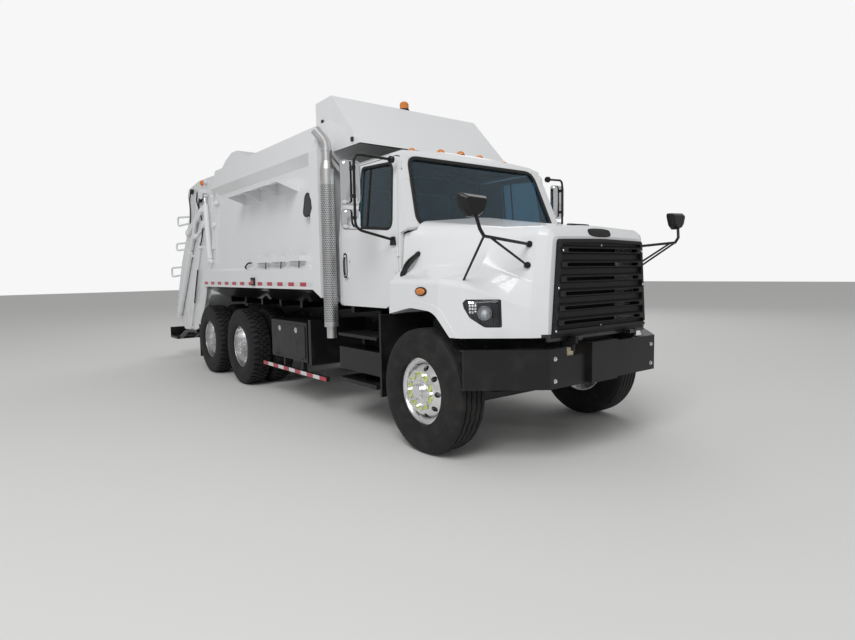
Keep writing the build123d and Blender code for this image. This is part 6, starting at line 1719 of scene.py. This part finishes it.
for name, side in SIDES.items():
    out = Y * side
    arms, bosses = Shape(), Shape()
    for start, end, width, thickness in ARMS:
        add_bar(arms, on_plate(side, *start), on_plate(side, *end), width, thickness, out)
    for station, z, radius in BOSSES:
        add_boss(bosses, on_plate(side, station, z), out, radius, BOSS_LENGTH)
    rod_ends = [on_plate(side, station, z, ROD_LIFT) for station, z in ROD_ENDS]
    arms.tube(rod_ends, ROD_R, sides=16)
    for end in rod_ends:
        add_boss(bosses, end - out * ROD_LIFT, out, 0.034, 0.056)
    arms.block(on_plate(side, -6.120, 0.770, 0.020), (0.170, 0.040, 0.090))
    piece(f"tailgate_arms_{name}", "tailgate", "white_paint", arms, edge=0.003)
    piece(f"tailgate_bosses_{name}", "tailgate", "white_paint", bosses)

# %% [markdown]
# ## Tailgate hoses
# Black valves stand at the top of the plate, and hoses run from them to the cylinders. Each hose is a tube
# through a few points with well eased corners, so it hangs in soft bends.

# %% Valves and hoses
VALVES = ((-6.206, 2.935), (-5.858, 2.858), (-5.770, 2.753))
HOSE_R, HOSE_LIFT, HOSE_BEND = 0.011, 0.032, 0.06
HOSES = (
    ((-5.905, 2.838), (-5.960, 2.760), (-5.860, 2.640), (-5.790, 2.520)),
    ((-5.815, 2.733), (-5.850, 2.660), (-5.760, 2.480), (-5.700, 2.380)),
    ((-6.250, 2.915), (-6.330, 2.800), (-6.300, 2.560), (-6.380, 2.330)),
    ((-5.690, 2.300), (-5.740, 2.180), (-5.800, 2.080), (-5.880, 2.030)),
    ((-6.060, 1.640), (-6.130, 1.500), (-6.250, 1.250), (-6.330, 1.080)),
)

for name, side in SIDES.items():
    valves, hoses = Shape(), Shape()
    for station, z in VALVES:
        add_boss(valves, on_plate(side, station, z), Y * side, 0.034, 0.046)
        valves.block(on_plate(side, station - 0.045, z - 0.020, 0.020), (0.060, 0.036, 0.040))
    for path in HOSES:
        spots = [on_plate(side, station, z, HOSE_LIFT) for station, z in path]
        hoses.tube(eased(spots, HOSE_BEND), HOSE_R, sides=8)
    piece(f"tailgate_valves_{name}", "tailgate", "dark_plastic", valves, edge=0.002)
    piece(f"tailgate_hoses_{name}", "tailgate", "sheet_rubber", hoses, crease=60)

# %% [markdown]
# ## Grab rails and top lamps
# White rails stand out to the rear beside the rear step, for the crew to hold. Each leaves the plate, runs
# outside it and comes back. An amber and a white lamp sit at the plate's upper corner.

# %% Rails and lamps of the tailgate
RAIL_ROOT, RAIL_OUT, RAIL_R = 1.128, 1.235, 0.016
RAILS = (
    ((-6.560, 2.440), (-6.880, 2.410), (-6.880, 2.560), (-6.505, 2.545)),
    ((-6.860, 2.010), (-7.040, 1.990), (-7.040, 2.110), (-6.790, 2.118)),
    ((-7.125, 1.560), (-7.440, 1.530), (-7.440, 1.690), (-7.098, 1.700)),
)
TOP_LAMPS = {"amber": (-5.690, 3.005, "amber_lens"), "white": (-5.490, 2.990, "clear_lens")}
TOP_LAMP = [(0, 0.040), (0.022, 0.040), (0.036, 0.034), (0.044, 0.018), (0.046, 0.0)]

for name, side in SIDES.items():
    rails = Shape()
    for path in RAILS:
        sides_out = (RAIL_ROOT, RAIL_OUT, RAIL_OUT, RAIL_ROOT)
        spots = [at(station, side * y, z) for (station, z), y in zip(path, sides_out)]
        rails.tube(eased(spots, 0.05), RAIL_R, sides=12)
    piece(f"grab_rails_{name}", "tailgate", "white_paint", rails, crease=60)
    for label, (station, z, look) in TOP_LAMPS.items():
        lamp = Shape()
        lamp.turned(on_plate(side, station, z), Y * side, TOP_LAMP, 28)
        piece(f"top_lamp_{label}_{name}", "tailgate", look, lamp, crease=50)

# %% [markdown]
# ## Bosses on the rear post
# Two turned bosses stand on the body's rear post, in front of the tailgate. They belong to the body, so they
# stay behind when the tailgate lifts, and each is pushed in until it meets the post.

# %% Post bosses
POST_BOSSES = ((-4.977, 2.616), (-5.120, 2.300))

for name, side in SIDES.items():
    posts = Shape()
    out = Y * side
    for station, z in POST_BOSSES:
        spot, _ = touch("body_shell", at(station, side * 1.5, z), -out)
        add_boss(posts, spot - out * 0.002, out, 0.036, 0.040)
    piece(f"post_bosses_{name}", "chassis", "white_paint", posts)

# %% [markdown]
# ## Box doors
# The tool boxes have raised doors with two latches and two hinges. A door is a plate with round corners,
# and a latch is a turned dish with a turn bar across it.

# %% Doors and latches of the tool boxes
# Rear end, front end and face of each box.
BOX_DOORS = {"right": (-3.150, -2.240, 1.150), "left": (-2.960, -2.240, 1.130)}
BOX_FOOT, BOX_HEAD, BOX_LATCH_Z, BOX_HINGE_Z = 0.560, 0.940, 0.880, 0.556
LATCH_DISH = [(0, 0.034), (0.003, 0.034), (0.006, 0.029), (0.004, 0.026), (0.004, 0)]

for name, (rear, front, face) in BOX_DOORS.items():
    side = SIDES[name]
    out = Y * side
    door, latches = Shape(), Shape()
    corners = beside(side * (face - 0.002), rectangle(rear, front, BOX_FOOT, BOX_HEAD))
    door.plate(eased(corners, 0.03, loop=True), out * 0.010)
    for share in (0.25, 0.75):
        centre = at(rear * (1 - share) + front * share, side * (face + 0.008), BOX_LATCH_Z)
        latches.turned(centre, out, LATCH_DISH, 24)
        latches.block(centre + out * 0.007, (0.046, 0.008, 0.014))
    for station in (rear + 0.12, front - 0.12):
        hinge = [(station - 0.05, BOX_HINGE_Z), (station + 0.05, BOX_HINGE_Z)]
        door.tube(beside(side * (face + 0.006), hinge), 0.008)
    piece(f"box_door_{name}", "chassis", "black_paint", door, edge=0.002)
    piece(f"box_latches_{name}", "chassis", "rod_chrome", latches)

# %% [markdown]
# ## Bolts
# The bumper has bright bolts, and the frame rails have two rows of dark ones. Where a bolt would stand on
# nothing, because the rail ends or a bracket leaves a gap, it is left out. A row also holds each mudflap.

# %% Bolts of the bumper, the frame and the mudflaps
RAIL_BOLTS, RAIL_BOLT_START, RAIL_BOLT_PITCH = 22, -5.40, 0.27
RAIL_BOLT_HEIGHTS = (0.845, 0.985)
FLAP_BOLT_Z, FLAP_BOLTS = 0.720, (0.62, 0.72, 0.86, 0.98, 1.10)

bumper_bolts = Shape()
for y in (-0.66, 0.66):
    for z in (0.690, 0.862):
        spot, facing = touch("bumper", at(1.6, y, z), -X)
        add_hexagon(bumper_bolts, spot, facing, 0.013, 0.010)
piece("bumper_bolts", "chassis", "chrome", bumper_bolts)

frame_bolts = Shape()
for side in SIDES.values():
    for index in range(RAIL_BOLTS):
        for z in RAIL_BOLT_HEIGHTS:
            start = at(RAIL_BOLT_START + index * RAIL_BOLT_PITCH, side * 0.60, z)
            spot = skin("frame_rails").ray_cast(start, Y * -side)[0]
            if spot is not None:
                add_hexagon(frame_bolts, spot, Y * side, 0.012, 0.009)
    for y in FLAP_BOLTS:
        spot, facing = touch("mudflaps", at(-5.6, side * y, FLAP_BOLT_Z), -X)
        add_hexagon(frame_bolts, spot, facing, 0.010, 0.007)
piece("frame_bolts", "chassis", "cast_iron", frame_bolts)

# %% [markdown]
# ## Hood mirrors
# The mirrors on the hood have a glass in the back of their heads, and two bolts in the pads of their legs.
# The glass is the head's own outline, a little smaller.

# %% Glass and bolts of the hood mirrors
HEAD_MIDDLE, HEAD_BACK, GLASS_SHARE = (1.345, 1.990), 0.8085, 0.86
HEAD_OUTLINE = (
    (-0.118, 0.084), (0.112, 0.092), (0.126, 0.070), (0.095, -0.020), (0.048, -0.066), (-0.030, -0.070),
    (-0.092, -0.028), (-0.128, 0.062),
)
LEG_PADS = ((0.793, 0.721, 1.742), (0.802, 0.754, 1.581))

mirror_glass, mirror_bolts = Shape(), Shape()
for side in SIDES.values():
    outline = []
    for across, rise in HEAD_OUTLINE:
        y, z = HEAD_MIDDLE[0] + across * GLASS_SHARE, HEAD_MIDDLE[1] + rise * GLASS_SHARE
        outline.append(at(HEAD_BACK, side * y, z))
    mirror_glass.plate(eased(outline, 0.03, loop=True), X * -0.002)
    outward = Vector((0.87, side * 0.48, 0.08)).normalized()
    for station, y, z in LEG_PADS:
        add_hexagon(mirror_bolts, at(station, side * y, z) + outward * 0.016, outward, 0.011, 0.008)
piece("hood_mirror_glass", "hood", "chrome", mirror_glass, crease=60)
piece("mirror_pad_bolts", "hood", "dark_plastic", mirror_bolts)

# %% [markdown]
# ## Studio floor and surround
# A pale floor and a pale surround show the truck plainly. The surround is bright only to the camera and
# through glass. It lights the truck much less, so it doesn't wash out the white paint.

# %% Floor and surround
FLOOR_HALF = 60.0
SURROUND_TO_EYE, SURROUND_LIGHT = 0.93, 0.45


def floor_look():
    return {"Base Color": tint(0.74, 0.74, 0.73), "Roughness": 0.9}


floor_mesh = bpy.data.meshes.new("floor")
corners = [(x, y, 0) for x, y in rectangle(-FLOOR_HALF, FLOOR_HALF, -FLOOR_HALF, FLOOR_HALF)]
floor_mesh.from_pydata(corners, [], [(0, 1, 2, 3)])
floor_mesh.materials.append(finish("floor_look", floor_look))
floor = bpy.data.objects.new("floor", floor_mesh)
bpy.context.scene.collection.objects.link(floor)

world = bpy.data.worlds.new("studio")
bpy.context.scene.world = world
world.use_nodes = True
Signal.tree = world.node_tree
camera_ray, glass_ray = (
    Signal.node("LightPath", output=kind) for kind in ("Is Camera Ray", "Is Transmission Ray")
)
to_the_eye = camera_ray.maths("MAXIMUM", glass_ray)
background = world.node_tree.nodes["Background"]
background.inputs["Color"].default_value = tint(1.0, 1.0, 1.0)
strength = SURROUND_LIGHT + to_the_eye * (SURROUND_TO_EYE - SURROUND_LIGHT)
world.node_tree.links.new(strength.socket, background.inputs["Strength"])
print("nodes in the surround:", len(world.node_tree.nodes))

# %% [markdown]
# ## Studio lamps
# One broad lamp stands high at the front right, where the sun is in the photograph, and a weaker one fills
# from the left. A broad lamp gives soft shadows, and long highlights that show the bends of the panels.

# %% Two lamps
LAMP_TARGET = Vector((0, 0, 1.4))


def soft_lamp(name, position, size, power):
    """Square area lamp that faces the truck."""
    light = bpy.data.lights.new(name, "AREA")
    light.energy = power
    light.size = size
    lamp = bpy.data.objects.new(name, light)
    bpy.context.scene.collection.objects.link(lamp)
    lamp.location = position
    lamp.rotation_euler = (LAMP_TARGET - Vector(position)).to_track_quat("-Z", "Y").to_euler()
    print(name, "of", power, "watts")


soft_lamp("sun_side", (9.0, -9.0, 11.0), 7.0, 1100)
soft_lamp("fill_side", (-7.0, 10.0, 9.0), 9.0, 350)

# %% [markdown]
# The dressed model has to stay within the CAD model's box.
